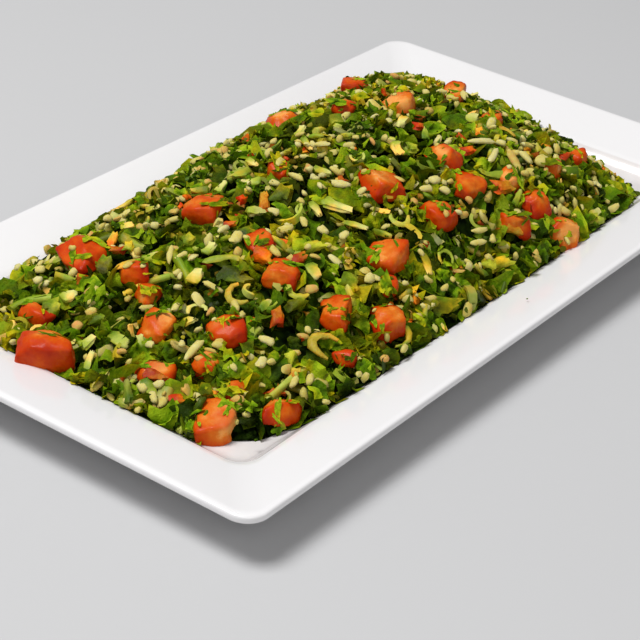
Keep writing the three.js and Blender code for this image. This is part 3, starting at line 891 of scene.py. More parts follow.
def porcelain():
    material, tree, shader = newMaterial(
        "glazedPorcelain", Roughness=0.16, Coat_Weight=0.5, Coat_Roughness=0.05, IOR=1.5,
        Subsurface_Weight=0.08, Subsurface_Radius=(0.004, 0.004, 0.004))
    place = addNode(tree, "ShaderNodeTexCoord").outputs["Object"]
    colour = mixColours(
        tree, noiseLevel(tree, place, 14), (0.76, 0.748, 0.752, 1), (0.80, 0.79, 0.795, 1))
    # partly a pinkish juice stain, partly painted shade: the colour is darker than the glaze to show shade on
    # the well
    juiceAndShade = math2(tree, "MULTIPLY", attributeValue(tree, "wellStainAndShade"), noiseLevel(tree, place, 60, 3))
    colour = mixColours(tree, juiceAndShade, colour, (0.60, 0.545, 0.52, 1))
    tree.links.new(colour, shader.inputs["Base Color"])
    addBump(tree, shader, noiseLevel(tree, place, 55, 1), 0.12, 0.0006)
    return material


finishPiece(buildPlatter(), porcelain(), "porcelain", "platter")
print("platter done")


core = {
    "columns": 200, "rows": 100, "crowding": 1.2, "relief": 0.0011, "reliefSize": 0.0028, "lumps": 1.3,
    "hollowDepth": 0.003, "footLength": 0.94, "footWidth": 0.86,
}


def buildCore():
    bm = bmesh.new()
    bmesh.ops.create_grid(bm, x_segments=core["columns"], y_segments=core["rows"], size=1)
    crowding = core["crowding"]  # draws the columns and rows together towards the heap's edge
    for v in bm.verts:
        u, w = (math.sin(crowding * c) / math.sin(crowding) for c in v.co.xy)
        x, y = heapPlan(u, w)
        rough = noise.noise(Vector((x, y, 0.4)) / core["reliefSize"])
        rough += 0.5 * noise.noise(Vector((x, y, 0.9)) / (0.45 * core["reliefSize"]))
        z = float(heapSurface(x, y) - dentDepth(x, y)) - heap["looseDepth"]
        z += core["lumps"] * heap["lumps"] * float(lumps(x, y))
        z -= core["hollowDepth"] * float(hollows(x, y))
        v.co = Vector((x, y, z + core["relief"] * rough))
    rest = dishTop(np.array([v.co[:] for v in bm.verts])) + fitting["dishGap"]
    for v, low in zip(bm.verts, rest):
        v.co.z = max(v.co.z, low)
    edges = [e for e in bm.edges if e.is_boundary]
    grown = bmesh.ops.extrude_edge_only(bm, edges=edges)["geom"]
    for v in (g for g in grown if isinstance(g, bmesh.types.BMVert)):
        x, y = v.co.x * core["footLength"], v.co.y * core["footWidth"]
        v.co = Vector((x, y, wellFloor + fitting["dishGap"]))
    bmesh.ops.edgeloop_fill(bm, edges=[e for e in bm.edges if e.is_boundary])
    bmesh.ops.recalc_face_normals(bm, faces=bm.faces)
    return smoothObject("saladCore", bm)


def coreMaterial():
    material, tree, shader = newMaterial("shadowedCoreGreens", Roughness=0.7, Specular_IOR_Level=0.03)
    place = addNode(tree, "ShaderNodeTexCoord").outputs["Object"]
    # near black greens: painted shade for the deep gaps between the loose pieces
    stops = (
        (0.38, (0.0025, 0.006, 0.001, 1)),
        (0.72, (0.018, 0.038, 0.002, 1)))
    colour = colourRamp(tree, noiseLevel(tree, place, 260, 4), stops)
    tree.links.new(colour, shader.inputs["Base Color"])
    return material


finishPiece(buildCore(), coreMaterial(), "greens", "salad")
print("core done")


ribbons = {
    "length": 0.0165, "width": 0.0056, "thickness": 0.0005, "segments": 12, "shapes": 12, "shapeSeed": 400,
    "count": 1350, "seed": 11, "footShare": 0.04, "depth": (-0.0003, 0.006), "lean": 0.6,
    "size": (0.6, 1.25), "spread": 0.12, "tone": (1.2, 1.5),
}


def rotateAll(bm, angle, axis, centre=(0, 0, 0)):
    bmesh.ops.rotate(bm, verts=bm.verts, cent=centre, matrix=Matrix.Rotation(angle, 3, axis))


def spinAll(bm, angle, steps, axis=(0, 0, 1), centre=(0, 0, 0), closed=False):
    # sweeps an outline round an axis
    bmesh.ops.spin(
        bm, geom=bm.faces[:] + bm.edges[:] + bm.verts[:], cent=centre, axis=axis, angle=angle, steps=steps,
        use_duplicate=False, use_merge=closed)


def doubled(bm, thickness):
    # the flat sheet gets a lower face that shares its outline, so that it is a thin closed leaf
    flat = list(bm.verts) + list(bm.edges) + list(bm.faces)
    inner = [v for v in bm.verts if not v.is_boundary]
    copied = bmesh.ops.duplicate(bm, geom=flat)
    below = [g for g in copied["geom"] if isinstance(g, bmesh.types.BMVert) and not g.is_boundary]
    bmesh.ops.translate(bm, verts=inner, vec=(0, 0, thickness / 2))
    bmesh.ops.translate(bm, verts=below, vec=(0, 0, -thickness / 2))
    bmesh.ops.remove_doubles(bm, verts=bm.verts, dist=mergeWithin)


def ribbonShape(number):
    # a strip of curly leaf: frilled edges with small teeth, bent along its length, with painted highlights on
    # its crests and edges and painted shade in its troughs
    rng = np.random.default_rng(ribbons["shapeSeed"] + number)
    length, width = ribbons["length"] * rng.uniform(0.8, 1.1), ribbons["width"] * rng.uniform(0.75, 1.25)
    bm = bmesh.new()
    bmesh.ops.create_grid(bm, x_segments=ribbons["segments"], y_segments=3, size=0.5)
    bmesh.ops.scale(bm, verts=bm.verts, vec=(length, width, 1))
    light = markAlong(bm, length)
    doubled(bm, ribbons["thickness"])
    curl = rng.uniform(0.4, 2.4) * rng.choice([-1, 1])
    fold = rng.uniform(-0.6, 1.0)
    twist = rng.uniform(-1.6, 1.6)
    frill = rng.uniform(0.0009, 0.0017)
    waves = rng.uniform(2.2, 3.8)
    phases = rng.uniform(0, 6, 4)
    sway = rng.uniform(-0.0025, 0.0025)
    teeth = rng.uniform(-0.0007, 0.0007, (2, ribbons["segments"] + 1))
    for v in bm.verts:
        along, side = v.co.x / length, v.co.y / width
        step = round((along + 0.5) * ribbons["segments"])
        taper = math.sqrt(max(1 - abs(2 * along) ** 3, 0.05)) * (1 + 0.16 * math.sin(9 * along + phases[0]))
        edge = max(abs(side) - 0.2, 0) / 0.3
        y = v.co.y * taper + sway * math.cos(math.pi * along) + edge * teeth[int(side > 0)][step]
        wave = math.sin(2 * math.pi * waves * along + (phases[1] if side > 0 else phases[2]))
        z = v.co.z + fold * abs(side) * width * 0.5 * taper + frill * (0.25 + edge) * wave
        # painted highlight and shade: crests and edges lighter, troughs and middle darker; kept in the along
        # layer
        v[light] = 0.5 + 0.32 * wave * (0.4 + 0.6 * edge) + 0.28 * (edge - 0.5)
        turn = twist * along
        y, z = y * math.cos(turn) - z * math.sin(turn), y * math.sin(turn) + z * math.cos(turn)
        bend = curl * along
        radius = length / curl
        v.co = Vector(((radius + z) * math.sin(bend), y, (radius + z) * math.cos(bend) - radius))
    return shapeOf(bm)


# gradient sets how strongly the painted crest highlights and fold shade of the leaf shapes show
leafMaterial = plantMaterial(
    "choppedParsley", (0.023, 0.050, 0.001, 1), (0.096, 0.192, 0.001, 1), (0.32, 0.43, 0.010, 1),
    mottle=0.5, size=330.0, relief=1.0, gradient=0.75, Roughness=0.6, Specular_IOR_Level=0.05,
    Subsurface_Weight=0.25, Subsurface_Radius=(0.0008, 0.0012, 0.0001))
finishPiece(
    joinCopies("leafRibbons", shapesOf(ribbonShape, ribbons), spotsFor(ribbons), drape=True,
               allowed=0.35, above=0.0005),
    leafMaterial, "greens")


leaflets = {
    "radius": 0.0043, "thickness": 0.0004, "sides": 14, "shapes": 12, "shapeSeed": 500,
    "count": 1650, "seed": 12, "depth": (-0.0006, 0.006), "lean": 0.75,
    "size": (0.5, 1.35), "spread": 0.15, "tone": (1.2, 1.6),
}


def leafletShape(number):
    rng = np.random.default_rng(leaflets["shapeSeed"] + number)
    radius = leaflets["radius"]
    bm = bmesh.new()
    bmesh.ops.create_circle(bm, cap_ends=True, cap_tris=True, segments=leaflets["sides"], radius=radius)
    bmesh.ops.subdivide_edges(bm, edges=[e for e in bm.edges if not e.is_boundary], cuts=1)
    light = markAlong(bm, 2 * radius)
    doubled(bm, leaflets["thickness"])
    stretch = rng.uniform(1.0, 1.9)
    cup = rng.uniform(20, 110) * rng.choice([-1, 1])
    fold = rng.uniform(-0.7, 0.9)
    frill = rng.uniform(0.0007, 0.0014)
    lobes = rng.integers(2, 5)
    phase = rng.uniform(0, 6)
    rough = rng.uniform(0.82, 1.18, leaflets["sides"])
    for v in bm.verts:
        angle = math.atan2(v.co.y, v.co.x)
        reach = v.co.xy.length / radius
        side = round(angle / (2 * math.pi) * leaflets["sides"]) % leaflets["sides"]
        grow = 1 + reach * (0.22 * math.cos(lobes * angle + phase) + rough[side] - 1)
        x, y = v.co.x * grow * stretch, v.co.y * grow
        z = v.co.z + cup * (x * x / stretch - 0.4 * y * y) + fold * abs(y)
        wave = math.sin(3 * angle + phase) + 0.7 * math.sin(5 * angle - 2 * phase)
        z += frill * reach * reach * wave
        # painted highlight and shade: lighter towards the rim and on the frill's crests, darker in the middle
        # and in its troughs; kept in the along layer
        v[light] = 0.5 + reach * (0.26 * wave + 0.2) - 0.12
        v.co = Vector((x, y, z))
    return shapeOf(bm)


leafletShapes = shapesOf(leafletShape, leaflets)
finishPiece(
    joinCopies("parsleyBits", leafletShapes, spotsFor(leaflets), drape=True, allowed=0.4, above=0.0004),
    leafMaterial, "greens")


fineBits = {
    "radius": 0.0013, "thickness": 0.0004, "sides": 6, "shapes": 6, "shapeSeed": 520,
    "count": 1000, "seed": 20, "depth": (-0.001, 0.004), "lean": 0.7,
    "size": (0.6, 1.5), "spread": 0.2, "tone": (1.0, 1.3),
}


def fineBitShape(number):
    rng = np.random.default_rng(fineBits["shapeSeed"] + number)
    bm = bmesh.new()
    bmesh.ops.create_circle(
        bm, cap_ends=True, cap_tris=True, segments=fineBits["sides"], radius=fineBits["radius"])
    doubled(bm, fineBits["thickness"])
    stretch = rng.uniform(1.0, 2.2)
    for v in bm.verts:
        bend = rng.uniform(-0.0003, 0.0003)
        x = v.co.x * stretch * rng.uniform(0.7, 1.3)
        y = v.co.y * rng.uniform(0.7, 1.3)
        v.co = Vector((x, y, v.co.z + bend))
    return shapeOf(bm)


fineMaterial = plantMaterial(
    "fineBits", (0.03, 0.06, 0.002, 1), (0.22, 0.26, 0.01, 1), (0.66, 0.56, 0.14, 1),
    mottle=0.2, size=200.0, relief=0.3, Roughness=0.6, Specular_IOR_Level=0.1,
    Subsurface_Weight=0.2, Subsurface_Radius=(0.0008, 0.0008, 0.0002))
finishPiece(
    joinCopies("fineBits", shapesOf(fineBitShape, fineBits), spotsFor(fineBits), drape=True, allowed=0.3),
    fineMaterial, "greens")

clumps = {
    "radius": 0.0042, "shapes": 8, "shapeSeed": 550,
    "count": 750, "seed": 17, "depth": (0.0005, 0.006), "lean": 0.5,
    "size": (0.45, 1.2), "spread": 0.15, "tone": (1.2, 1.6),
}


def clumpShape(number):
    rng = np.random.default_rng(clumps["shapeSeed"] + number)
    bm = bmesh.new()
    roundedCube(bm, 0.9)
    light = bm.verts.layers.float.new("along")
    flat = rng.uniform(0.45, 0.75)
    stretch = rng.uniform(1.0, 1.5)
    for v in bm.verts:
        out = v.co.normalized()
        lump = 1 + 0.75 * noise.noise(out * 1.9 + Vector((number * 2.7, 0, 0))) + rng.uniform(-0.12, 0.12)
        # painted highlight and shade: bulges lighter, dents darker; kept in the along layer
        v[light] = 0.5 + 1.4 * (lump - 1)
        v.co = Vector((out.x * stretch, out.y, out.z * flat)) * (clumps["radius"] * lump)
    return shapeOf(bm)


finishPiece(
    joinCopies("curlyBits", shapesOf(clumpShape, clumps), spotsFor(clumps), above=0.001),
    leafMaterial, "greens")
print("leaves done")


stems = {
    "length": 0.011, "radius": 0.00095, "sides": 6, "steps": 4, "shapes": 6, "shapeSeed": 600,
    "count": 230, "seed": 13, "footShare": 0.03, "depth": (-0.001, 0.004), "lean": 0.35,
    "size": (0.7, 1.5), "spread": 0.15, "tone": (1.8, 1.6),
}


def stemShape(number):
    rng = np.random.default_rng(stems["shapeSeed"] + number)
    length, radius = stems["length"], stems["radius"] * rng.uniform(0.75, 1.35)
    bend = rng.uniform(0.6, 2.2)
    reach = length / bend
    bm = bmesh.new()
    bmesh.ops.create_circle(bm, cap_ends=True, segments=stems["sides"], radius=radius)
    rotateAll(bm, math.pi / 2, "Y")
    spinAll(bm, bend, stems["steps"], axis=(0, 1, 0), centre=(0, 0, -reach))
    rotateAll(bm, -bend / 2, "Y", centre=(0, 0, -reach))
    layer = bm.verts.layers.float.new("along")
    for v in bm.verts:
        v[layer] = v.co.x / length + 0.5
        v.co.y *= rng.uniform(0.9, 1.15)
        v.co.z += rng.uniform(-0.0001, 0.0001)
    return shapeOf(bm)


stemMaterial = plantMaterial(
    "parsleyStem", (0.07, 0.13, 0.004, 1), (0.20, 0.31, 0.01, 1), (0.48, 0.53, 0.08, 1),
    mottle=0.25, size=180.0, relief=0.2, gradient=0.4, Roughness=0.5, Specular_IOR_Level=0.2,
    Subsurface_Weight=0.3, Subsurface_Radius=(0.001, 0.0016, 0.0004))
finishPiece(
    joinCopies("parsleyStems", shapesOf(stemShape, stems), spotsFor(stems)), stemMaterial, "scallion")


rings = {
    "radius": 0.0034, "wall": 0.0012, "height": 0.0020, "steps": 11,
    "shapes": 6, "closed": 2, "shapeSeed": 700,
    "count": 95, "seed": 14, "footShare": 0.03, "depth": (-0.001, 0.0025), "lean": 0.5,
    "size": (0.7, 1.3), "spread": 0.12, "tone": (1.8, 1.5),
}


def ringShape(number):
    # the first shapes are closed rings and the others open curls
    rng = np.random.default_rng(rings["shapeSeed"] + number)
    closed = number < rings["closed"]
    radius = rings["radius"] * rng.uniform(0.7, 1.35)
    wall, height = rings["wall"], rings["height"] * rng.uniform(0.7, 1.4)
    turn = 2 * math.pi if closed else rng.uniform(2.2, 4.6)
    bm = bmesh.new()
    bmesh.ops.create_grid(bm, x_segments=1, y_segments=1, size=0.5)
    bmesh.ops.scale(bm, verts=bm.verts, vec=(wall, height, 1))
    rotateAll(bm, math.pi / 2, "X")
    bmesh.ops.translate(bm, verts=bm.verts, vec=(radius, 0, 0))
    if closed:
        bmesh.ops.delete(bm, geom=bm.faces[:], context="FACES_ONLY")
    spinAll(bm, turn, rings["steps"], closed=closed)
    squeeze = rng.uniform(0.7, 1.0)
    for v in bm.verts:
        v.co.x *= squeeze
        v.co.z *= 1 + 0.25 * math.sin(2 * math.atan2(v.co.y, v.co.x) + number)
    bmesh.ops.remove_doubles(bm, verts=bm.verts, dist=mergeWithin)
    return shapeOf(bm)


scallionMaterial = plantMaterial(
    "scallion", (0.13, 0.22, 0.006, 1), (0.37, 0.44, 0.035, 1), (0.62, 0.62, 0.2, 1),
    mottle=0.35, size=150.0, relief=0.2, Roughness=0.48, Specular_IOR_Level=0.2,
    Subsurface_Weight=0.35, Subsurface_Radius=(0.0012, 0.0016, 0.0006))
finishPiece(
    joinCopies("scallionRings", shapesOf(ringShape, rings), spotsFor(rings)), scallionMaterial, "scallion")


ribs = {
    "length": 0.0088, "width": 0.0038, "height": 0.0018, "shapes": 8, "shapeSeed": 800,
    "count": 520, "seed": 15, "footShare": 0.04, "depth": (-0.0008, 0.0035), "lean": 0.4,
    "size": (0.6, 1.25), "spread": 0.15, "tone": (1.6, 1.9),
}


def ribShape(number):
    rng = np.random.default_rng(ribs["shapeSeed"] + number)
    length = ribs["length"] * rng.uniform(0.75, 1.35)
    width = ribs["width"] * rng.uniform(0.7, 1.3)
    bm = bmesh.new()
    roundedCube(bm, 0.5)
    bmesh.ops.scale(bm, verts=bm.verts, vec=(length, width, 1.2 * ribs["height"]))
    markAlong(bm, length)
    narrow = rng.uniform(0.1, 0.95)
    arch = rng.uniform(-45, 60)
    for v in bm.verts:
        along = v.co.x / length
        v.co.y *= 1 - narrow * (along + 0.5)
        v.co.y += rng.uniform(-0.0005, 0.0005)
        v.co.z += arch * v.co.x * v.co.x + rng.uniform(-0.0003, 0.0003)
        v.co.x += rng.uniform(-0.0007, 0.0007)
    return shapeOf(bm)


ribMaterial = plantMaterial(
    "leafRib", (0.10, 0.18, 0.004, 1), (0.36, 0.42, 0.035, 1), (0.64, 0.61, 0.19, 1),
    mottle=0.4, size=190.0, relief=0.35, gradient=0.9, Roughness=0.5, Specular_IOR_Level=0.2,
    Subsurface_Weight=0.3, Subsurface_Radius=(0.0012, 0.0016, 0.0006))
ribShapes = shapesOf(ribShape, ribs)
ribSpots = bothSpots(spotsFor(ribs), placedSpots("wedges", ribShapes, flatness=0.4))
finishPiece(joinCopies("leafRibs", ribShapes, ribSpots, allowed=0.3), ribMaterial, "scallion")


chunks = {
    "length": 0.0075, "width": 0.0055, "height": 0.0042, "shapes": 6, "shapeSeed": 840,
    "count": 110, "seed": 18, "footShare": 0.02, "depth": (0.0005, 0.004), "lean": 0.4,
    "size": (0.4, 0.95), "spread": 0.15, "tone": (1.4, 1.6),
}


def chunkShape(number):
    # a soft rounded block, narrower to one end
    rng = np.random.default_rng(chunks["shapeSeed"] + number)
    bm = bmesh.new()
    roundedCube(bm, 0.65)
    markAlong(bm, 1)
    narrow = rng.uniform(0.0, 0.6)
    for v in bm.verts:
        lump = 1 + 0.8 * noise.noise(v.co * 2.3 + Vector((number * 4.3, 1, 0)))
        x, y, z = v.co * lump
        taper = 1 - narrow * (x + 0.5)
        v.co = Vector((x * chunks["length"], y * taper * chunks["width"], z * chunks["height"]))
    return shapeOf(bm)


chunkMaterial = plantMaterial(
    "softChunk", (0.03, 0.052, 0.001, 1), (0.14, 0.21, 0.004, 1), (0.50, 0.50, 0.03, 1),
    mottle=0.6, size=260.0, relief=0.6, gradient=0.5, Roughness=0.5, Specular_IOR_Level=0.12,
    Subsurface_Weight=0.4, Subsurface_Radius=(0.002, 0.002, 0.0004))
chunkShapes = shapesOf(chunkShape, chunks)
chunkSpots = bothSpots(spotsFor(chunks), placedSpots("chunks", chunkShapes))
finishPiece(joinCopies("softChunks", chunkShapes, chunkSpots, allowed=0.3), chunkMaterial, "scallion")

pulp = {
    "count": 260, "seed": 19, "footShare": 0.0, "depth": (0.0004, 0.0035), "lean": 0.5,
    "size": (0.3, 0.75), "spread": 0.2, "tone": (1.1, 1.3), "shapes": len(chunkShapes),
}
pulpMaterial = plantMaterial(
    "tomatoPulp", (0.33, 0.03, 0.0008, 1), (0.50, 0.18, 0.005, 1), (0.60, 0.43, 0.04, 1),
    mottle=0.7, size=230.0, relief=0.7, gradient=0.5, Roughness=0.5, Specular_IOR_Level=0.15,
    Subsurface_Weight=0.4, Subsurface_Radius=(0.003, 0.0012, 0.0003))
pulpSpots = bothSpots(spotsFor(pulp), placedSpots("pulp", chunkShapes))
finishPiece(joinCopies("pulpBits", chunkShapes, pulpSpots, allowed=0.5), pulpMaterial, "tomato")

hooks = {
    "reach": 0.0038, "radius": 0.00095, "bends": (2.0, 2.8, 3.5, 4.6), "sides": 7, "steps": 7, "shapes": 4,
}


def hookShape(number):
    # a curl that lies flat, thinner to its ends
    bend = hooks["bends"][number]
    bm = bmesh.new()
    bmesh.ops.create_circle(bm, cap_ends=True, segments=hooks["sides"], radius=hooks["radius"])
    rotateAll(bm, math.pi / 2, "X")
    bmesh.ops.translate(bm, verts=bm.verts, vec=(hooks["reach"], 0, 0))
    spinAll(bm, bend, hooks["steps"])
    for v in bm.verts:
        angle = math.atan2(v.co.y, v.co.x) % (2 * math.pi)
        if angle > bend + 0.1:
            angle = 0
        middle = Vector((math.cos(angle), math.sin(angle), 0)) * hooks["reach"]
        thin = 0.6 + 0.5 * math.sqrt(math.sin(math.pi * min(angle / bend, 1)))
        thin *= 1 + 0.9 * noise.noise(v.co * 450 + Vector((number, 0, 0)))
        v.co = middle + (v.co - middle) * thin
    rotateAll(bm, (math.pi - bend) / 2, "Z")
    middle = sum((v.co for v in bm.verts), Vector()) / len(bm.verts)
    bmesh.ops.translate(bm, verts=bm.verts, vec=-middle)
    return shapeOf(bm)


peelMaterial = plantMaterial(
    "tomatoPeel", (0.20, 0.09, 0.003, 1), (0.34, 0.24, 0.014, 1), (0.48, 0.40, 0.05, 1),
    mottle=0.7, size=260.0, relief=0.6, Roughness=0.45, Specular_IOR_Level=0.15,
    Subsurface_Weight=0.4, Subsurface_Radius=(0.003, 0.0015, 0.0003))
hookShapes = shapesOf(hookShape, hooks)
hookSpots = placedSpots("hooks", hookShapes, flatness=0.35)
curlSpots = placedSpots("curls", hookShapes, flatness=0.25)
finishPiece(joinCopies("pulpHooks", hookShapes, hookSpots, allowed=1), peelMaterial, "tomato")
finishPiece(joinCopies("paleCurls", hookShapes, curlSpots, allowed=1), ribMaterial, "scallion")
print("stems, rings and ribs done")


grains = {
    "length": 0.0023, "width": 0.0016, "height": 0.0011, "shapes": 8, "shapeSeed": 900,
    "count": 1640, "seed": 16, "footShare": 0.05, "depth": (-0.0018, 0.0028), "lean": 0.45,
    "size": (0.66, 1.06), "spread": 0.14, "tone": (2.2, 1.8),
}


def grainShape(number):
    rng = np.random.default_rng(grains["shapeSeed"] + number)
    bm = bmesh.new()
    bmesh.ops.create_uvsphere(bm, u_segments=8, v_segments=6, radius=1)
    rotateAll(bm, math.pi / 2, "Y")
    stretch = rng.uniform(0.7, 1.12) if number else 1.5
    lean = rng.uniform(-0.3, 0.3)
    for v in bm.verts:
        x, y, z = v.co
        x = math.copysign(abs(x) ** 0.8, x)
        lump = 1 + 0.35 * noise.noise(v.co * 1.3 + Vector((number * 3.1, 0, 0))) + rng.uniform(-0.03, 0.03)
        v.co = Vector((
            x * grains["length"] * stretch * lump,
            (y * (1 - 0.2 * lean * x) + lean * x * x * 0.6) * grains["width"] * lump,
            z * grains["height"] * lump))
    return shapeOf(bm)


def grainMaterial():
    material, tree, shader = newMaterial(
        "bulgur", Roughness=0.65, Specular_IOR_Level=0.1,
        Subsurface_Weight=0.5, Subsurface_Radius=(0.0022, 0.0018, 0.0007))
    place = addNode(tree, "ShaderNodeTexCoord").outputs["Object"]
    cloud = noiseLevel(tree, place, 420)
    level = math2(tree, "ADD", attributeValue(tree, "tone"), math2(tree, "SUBTRACT", cloud, 0.5))
    stops = (
        (0.0, (0.60, 0.31, 0.09, 1)),
        (0.22, (0.52, 0.36, 0.08, 1)),
        (0.4, (0.54, 0.45, 0.11, 1)),
        (0.7, (0.58, 0.505, 0.165, 1)),
        (1.0, (0.60, 0.545, 0.235, 1)))
    # painted shade: deeper grains are darkened
    dim = math2(tree, "MULTIPLY", attributeValue(tree, "shade"), 0.5)
    colour = mixColours(tree, dim, colourRamp(tree, level, stops), (0.2, 0.2, 0.03, 1))
    tree.links.new(colour, shader.inputs["Base Color"])
    return material


grainShapes = shapesOf(grainShape, grains)
grainLook = grainMaterial()
grainSpots = bothSpots(spotsFor(grains), placedSpots("slivers", grainShapes, flatness=0.7, sunk=0.0))
crumbSpots = placedSpots("crumbs", grainShapes, flatness=0.7, sunk=0.0)
finishPiece(joinCopies("bulgurGrains", grainShapes, grainSpots, allowed=0.45), grainLook, "bulgur")
finishPiece(joinCopies("rimCrumbs", grainShapes, crumbSpots, allowed=1), leafMaterial, "greens")
print("bulgur done")


tomatoes = {
    "weld": 1e-5,
    "cutAt": (0.6, 0.85),  # share of the way from the middle to the corner that is cut off
    "voxel": 0.0009,
    "smoothing": 2,
    "sunk": 0.0008,
    "narrow": 0.36,
    "skinDepth": 0.0016,
    "cornersFrom": 0.58,
    "cornersOver": 0.34,
    "swell": 0.0001,
    "bulge": 0.0010,
    "bulgeScale": 130,
    "relief": 0.0004,
    "reliefScales": (420, 900),
    "toneSwing": 0.7,
    "shapeSeed": 1000,
}


def cutDie(name, rng):
    # an even mesh of a die that has a few of its corners cut off
    copy = cadNodes[name].data.copy()
    bm = bmesh.new()
    bm.from_mesh(copy)
    bmesh.ops.remove_doubles(bm, verts=bm.verts, dist=tomatoes["weld"])
    middle = sum((v.co for v in bm.verts), Vector()) / len(bm.verts)
    for _ in range(rng.integers(1, 4)):
        way = Vector(rng.normal(0, 1, 3)).normalized()
        way.z = abs(way.z)
        far = max((v.co - middle).dot(way) for v in bm.verts)
        cut = bmesh.ops.bisect_plane(
            bm, geom=bm.verts[:] + bm.edges[:] + bm.faces[:], clear_outer=True,
            plane_co=middle + way * far * rng.uniform(*tomatoes["cutAt"]), plane_no=way)
        rims = [g for g in cut["geom_cut"] if isinstance(g, bmesh.types.BMEdge)]
        bmesh.ops.edgeloop_fill(bm, edges=rims)
    bm.to_mesh(copy)
    bm.free()
    die = newObject("die", copy)
    remesh = die.modifiers.new("even", "REMESH")
    remesh.mode = "VOXEL"
    remesh.voxel_size = tomatoes["voxel"]
    relax = die.modifiers.new("relax", "SMOOTH")
    relax.iterations = tomatoes["smoothing"]
    relax.factor = 0.5
    shaped = bpy.data.meshes.new_from_object(die.evaluated_get(bpy.context.evaluated_depsgraph_get()))
    bpy.data.objects.remove(die)
    return shaped


def buildTomatoes():
    # the dice in one mesh, with how far each vertex lies in the skin, its tone and how near it is to a corner
    joined = bmesh.new()
    skin = joined.verts.layers.float.new("skin")
    tone = joined.verts.layers.float.new("tone")
    rim = joined.verts.layers.float.new("rim")
    coarse, fine = tomatoes["reliefScales"]
    for number, name in enumerate(tomatoNodes):
        rng = np.random.default_rng(tomatoes["shapeSeed"] + number)
        shaped = cutDie(name, rng)
        points = np.array([v.co[:] for v in shaped.vertices]) - (0, 0, tomatoes["sunk"])
        centre = points.mean(0)
        _, axes = np.linalg.eigh(np.cov((points - centre).T))
        outward = axes[:, rng.integers(0, 3)] * rng.choice([-1, 1])
        if outward[2] < -0.2:
            outward = -outward
        reach = (points - centre) @ outward
        covered = np.clip(1 - (reach.max() - reach) / tomatoes["skinDepth"], 0, 1)
        apart = np.linalg.norm(points - centre, axis=1)
        cornered = np.clip((apart / apart.max() - tomatoes["cornersFrom"]) / tomatoes["cornersOver"], 0, 1)
        tilted = axes[:, rng.integers(0, 3)]
        spread = (points - centre) @ tilted
        narrowing = 1 - tomatoes["narrow"] * rng.uniform(0.2, 1) * spread / np.abs(spread).max()
        narrowed = (points - centre) * narrowing[:, None] + np.outer(spread * (1 - narrowing), tilted)
        value = rng.random() + np.clip(tomatoes["toneSwing"] * spread / np.abs(spread).max(), -0.5, 0.5)
        start = len(joined.verts)
        joined.from_mesh(shaped)
        joined.verts.ensure_lookup_table()
        for index, place in enumerate(narrowed + centre):
            v = joined.verts[start + index]
            v[skin] = covered[index]
            v[tone] = value[index]
            v[rim] = cornered[index]
            v.co = Vector(place)
            ripple = noise.noise(v.co * coarse) + 0.5 * noise.noise(v.co * fine)
            outwards = (v.co - Vector(centre)).normalized()
            bulge = tomatoes["bulge"] * noise.noise(v.co * tomatoes["bulgeScale"] + Vector((number, 0, 0)))
            v.co += outwards * (tomatoes["swell"] + bulge + tomatoes["relief"] * ripple * (1 - v[skin]))
        bpy.data.meshes.remove(shaped)
    piece = smoothObject("tomatoDice", joined)
    printTriangles(piece)
    return piece


def tomatoMaterial():
    material, tree, shader = newMaterial(
        "tomatoFlesh", Roughness=0.4, Specular_IOR_Level=0.1, Coat_Weight=0.045, Coat_Roughness=0.12,
        Subsurface_Weight=0.3, Subsurface_Radius=(0.003, 0.0008, 0.0003))
    place = addNode(tree, "ShaderNodeTexCoord").outputs["Object"]
    cloud = noiseLevel(tree, place, 120, 5, 0.62)
    level = math2(tree, "MULTIPLY", attributeValue(tree, "tone"), 0.4)
    level = math2(tree, "ADD", level, math2(tree, "ADD", swingOf(tree, cloud, 1.6), 0.5))
    level = math2(tree, "SUBTRACT", level, math2(tree, "MULTIPLY", attributeValue(tree, "rim"), 0.6))
    stops = (
        (0.0, (0.40, 0.020, 0.0006, 1)),
        (0.3, (0.50, 0.045, 0.0008, 1)),
        (0.52, (0.56, 0.078, 0.0012, 1)),
        (0.8, (0.65, 0.165, 0.012, 1)),
        (1.0, (0.75, 0.31, 0.07, 1)))
    flesh = colourRamp(tree, level, stops)
    covered = math2(tree, "MULTIPLY", attributeValue(tree, "skin"), 0.75)
    colour = mixColours(tree, covered, flesh, (0.52, 0.038, 0.001, 1))
    tree.links.new(colour, shader.inputs["Base Color"])
    addBump(tree, shader, cloud, 0.5, 0.0006)
    return material


tomatoDice = finishPiece(buildTomatoes(), tomatoMaterial(), "tomato", *tomatoNodes)

flecks = {
    "each": 11, "size": (0.14, 0.58), "flattened": (1.3, 0.6, 0.25), "seed": 31,
    "grainsEach": 1.1, "grainSize": (0.55, 0.95), "grainSeed": 32,
    "upperShare": 0.6,  # they lie on this upper share of a die
    "lift": 0.0002, "lean": 0.12, "spread": 0.2, "grown": (0.6, 1.5), "tone": (1.6, 1.6),
}


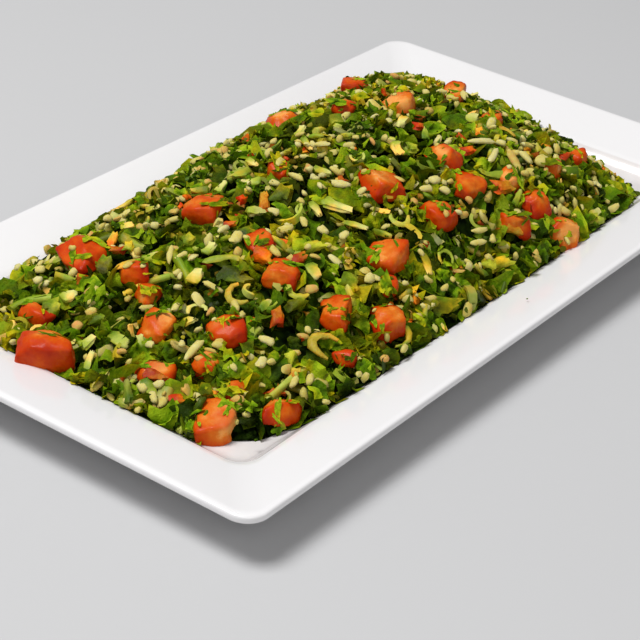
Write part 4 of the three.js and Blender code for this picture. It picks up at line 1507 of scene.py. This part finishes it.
def onTomatoes(each, size, shapeCount, seed):
    # spots on the upper faces of the dice
    mesh = tomatoDice.data
    tree = BVHTree.FromPolygons([v.co for v in mesh.vertices], [f.vertices for f in mesh.polygons])
    rng = np.random.default_rng(seed)
    places, normals = [], []
    for name in tomatoNodes:
        low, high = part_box(name)
        for _ in range(rng.poisson(each)):
            start = Vector((rng.uniform(low.x, high.x), rng.uniform(low.y, high.y), overhead))
            hit, normal, _, _ = tree.ray_cast(start, down)
            if hit and hit.z > low.z + (1 - flecks["upperShare"]) * (high.z - low.z):
                places.append(hit)
                normals.append(normal)
    count, normals = len(places), np.array(normals)
    axes = turns(normals, rng, flecks["lean"])
    sizes = rng.uniform(*size, count)[:, None]
    sizes = sizes * np.clip(rng.normal(1, flecks["spread"], (count, 3)), *flecks["grown"])
    return {
        "places": np.array(places) + flecks["lift"] * normals,
        "axes": axes,
        "sizes": sizes,
        "tone": rng.beta(*flecks["tone"], count),
        "shade": np.zeros(count),
        "kind": rng.integers(0, shapeCount, count),
    }


fleckSpots = onTomatoes(flecks["each"], flecks["size"], leaflets["shapes"], flecks["seed"])
fleckSpots["sizes"] *= flecks["flattened"]
grainSpots = onTomatoes(flecks["grainsEach"], flecks["grainSize"], grains["shapes"], flecks["grainSeed"])
finishPiece(joinCopies("greenFlecks", leafletShapes, fleckSpots, allowed=1), leafMaterial, "greens")
finishPiece(joinCopies("grainsOnTop", grainShapes, grainSpots, allowed=1), grainLook, "bulgur")
print("tomatoes done")


def addLight(name, place, size, energy):
    data = bpy.data.lights.new(name, "AREA")
    data.shape = "SQUARE"
    data.size = size
    data.energy = energy
    light = newObject(name, data)
    light.location = place
    aim = Vector((0, 0, 0.02))
    light.rotation_euler = (aim - Vector(place)).to_track_quat("-Z", "Y").to_euler()


def buildFloor():
    bm = bmesh.new()
    bmesh.ops.create_grid(bm, x_segments=1, y_segments=1, size=4)
    piece = smoothObject("floor", bm)
    material = newMaterial(
        "paleFloor", Base_Color=(0.5, 0.5, 0.505, 1), Roughness=0.7, Specular_IOR_Level=0.2)[0]
    piece.data.materials.append(material)


def addCamera():
    data = bpy.data.cameras.new("camera")
    data.sensor_width = camera["sensor"]
    data.lens = camera["lens"]
    viewer = newObject("camera", data)
    rotation = Matrix((camera["right"], camera["up"], cameraBack)).transposed()
    viewer.matrix_world = Matrix.Translation(camera["place"]) @ rotation.to_4x4()
    bpy.context.scene.camera = viewer


buildFloor()
addCamera()
world = bpy.data.worlds.new("studio")
world.use_nodes = True
background = world.node_tree.nodes["Background"]
background.inputs["Color"].default_value = (1, 1, 1, 1)
background.inputs["Strength"].default_value = 0.3
bpy.context.scene.world = world
addLight("keyLight", (-0.6, 0.45, 1.9), size=0.8, energy=41)
addLight("fillLight", (-1.6, -1.5, 1.3), size=1.6, energy=14)
bpy.context.scene.view_settings.view_transform = "Standard"
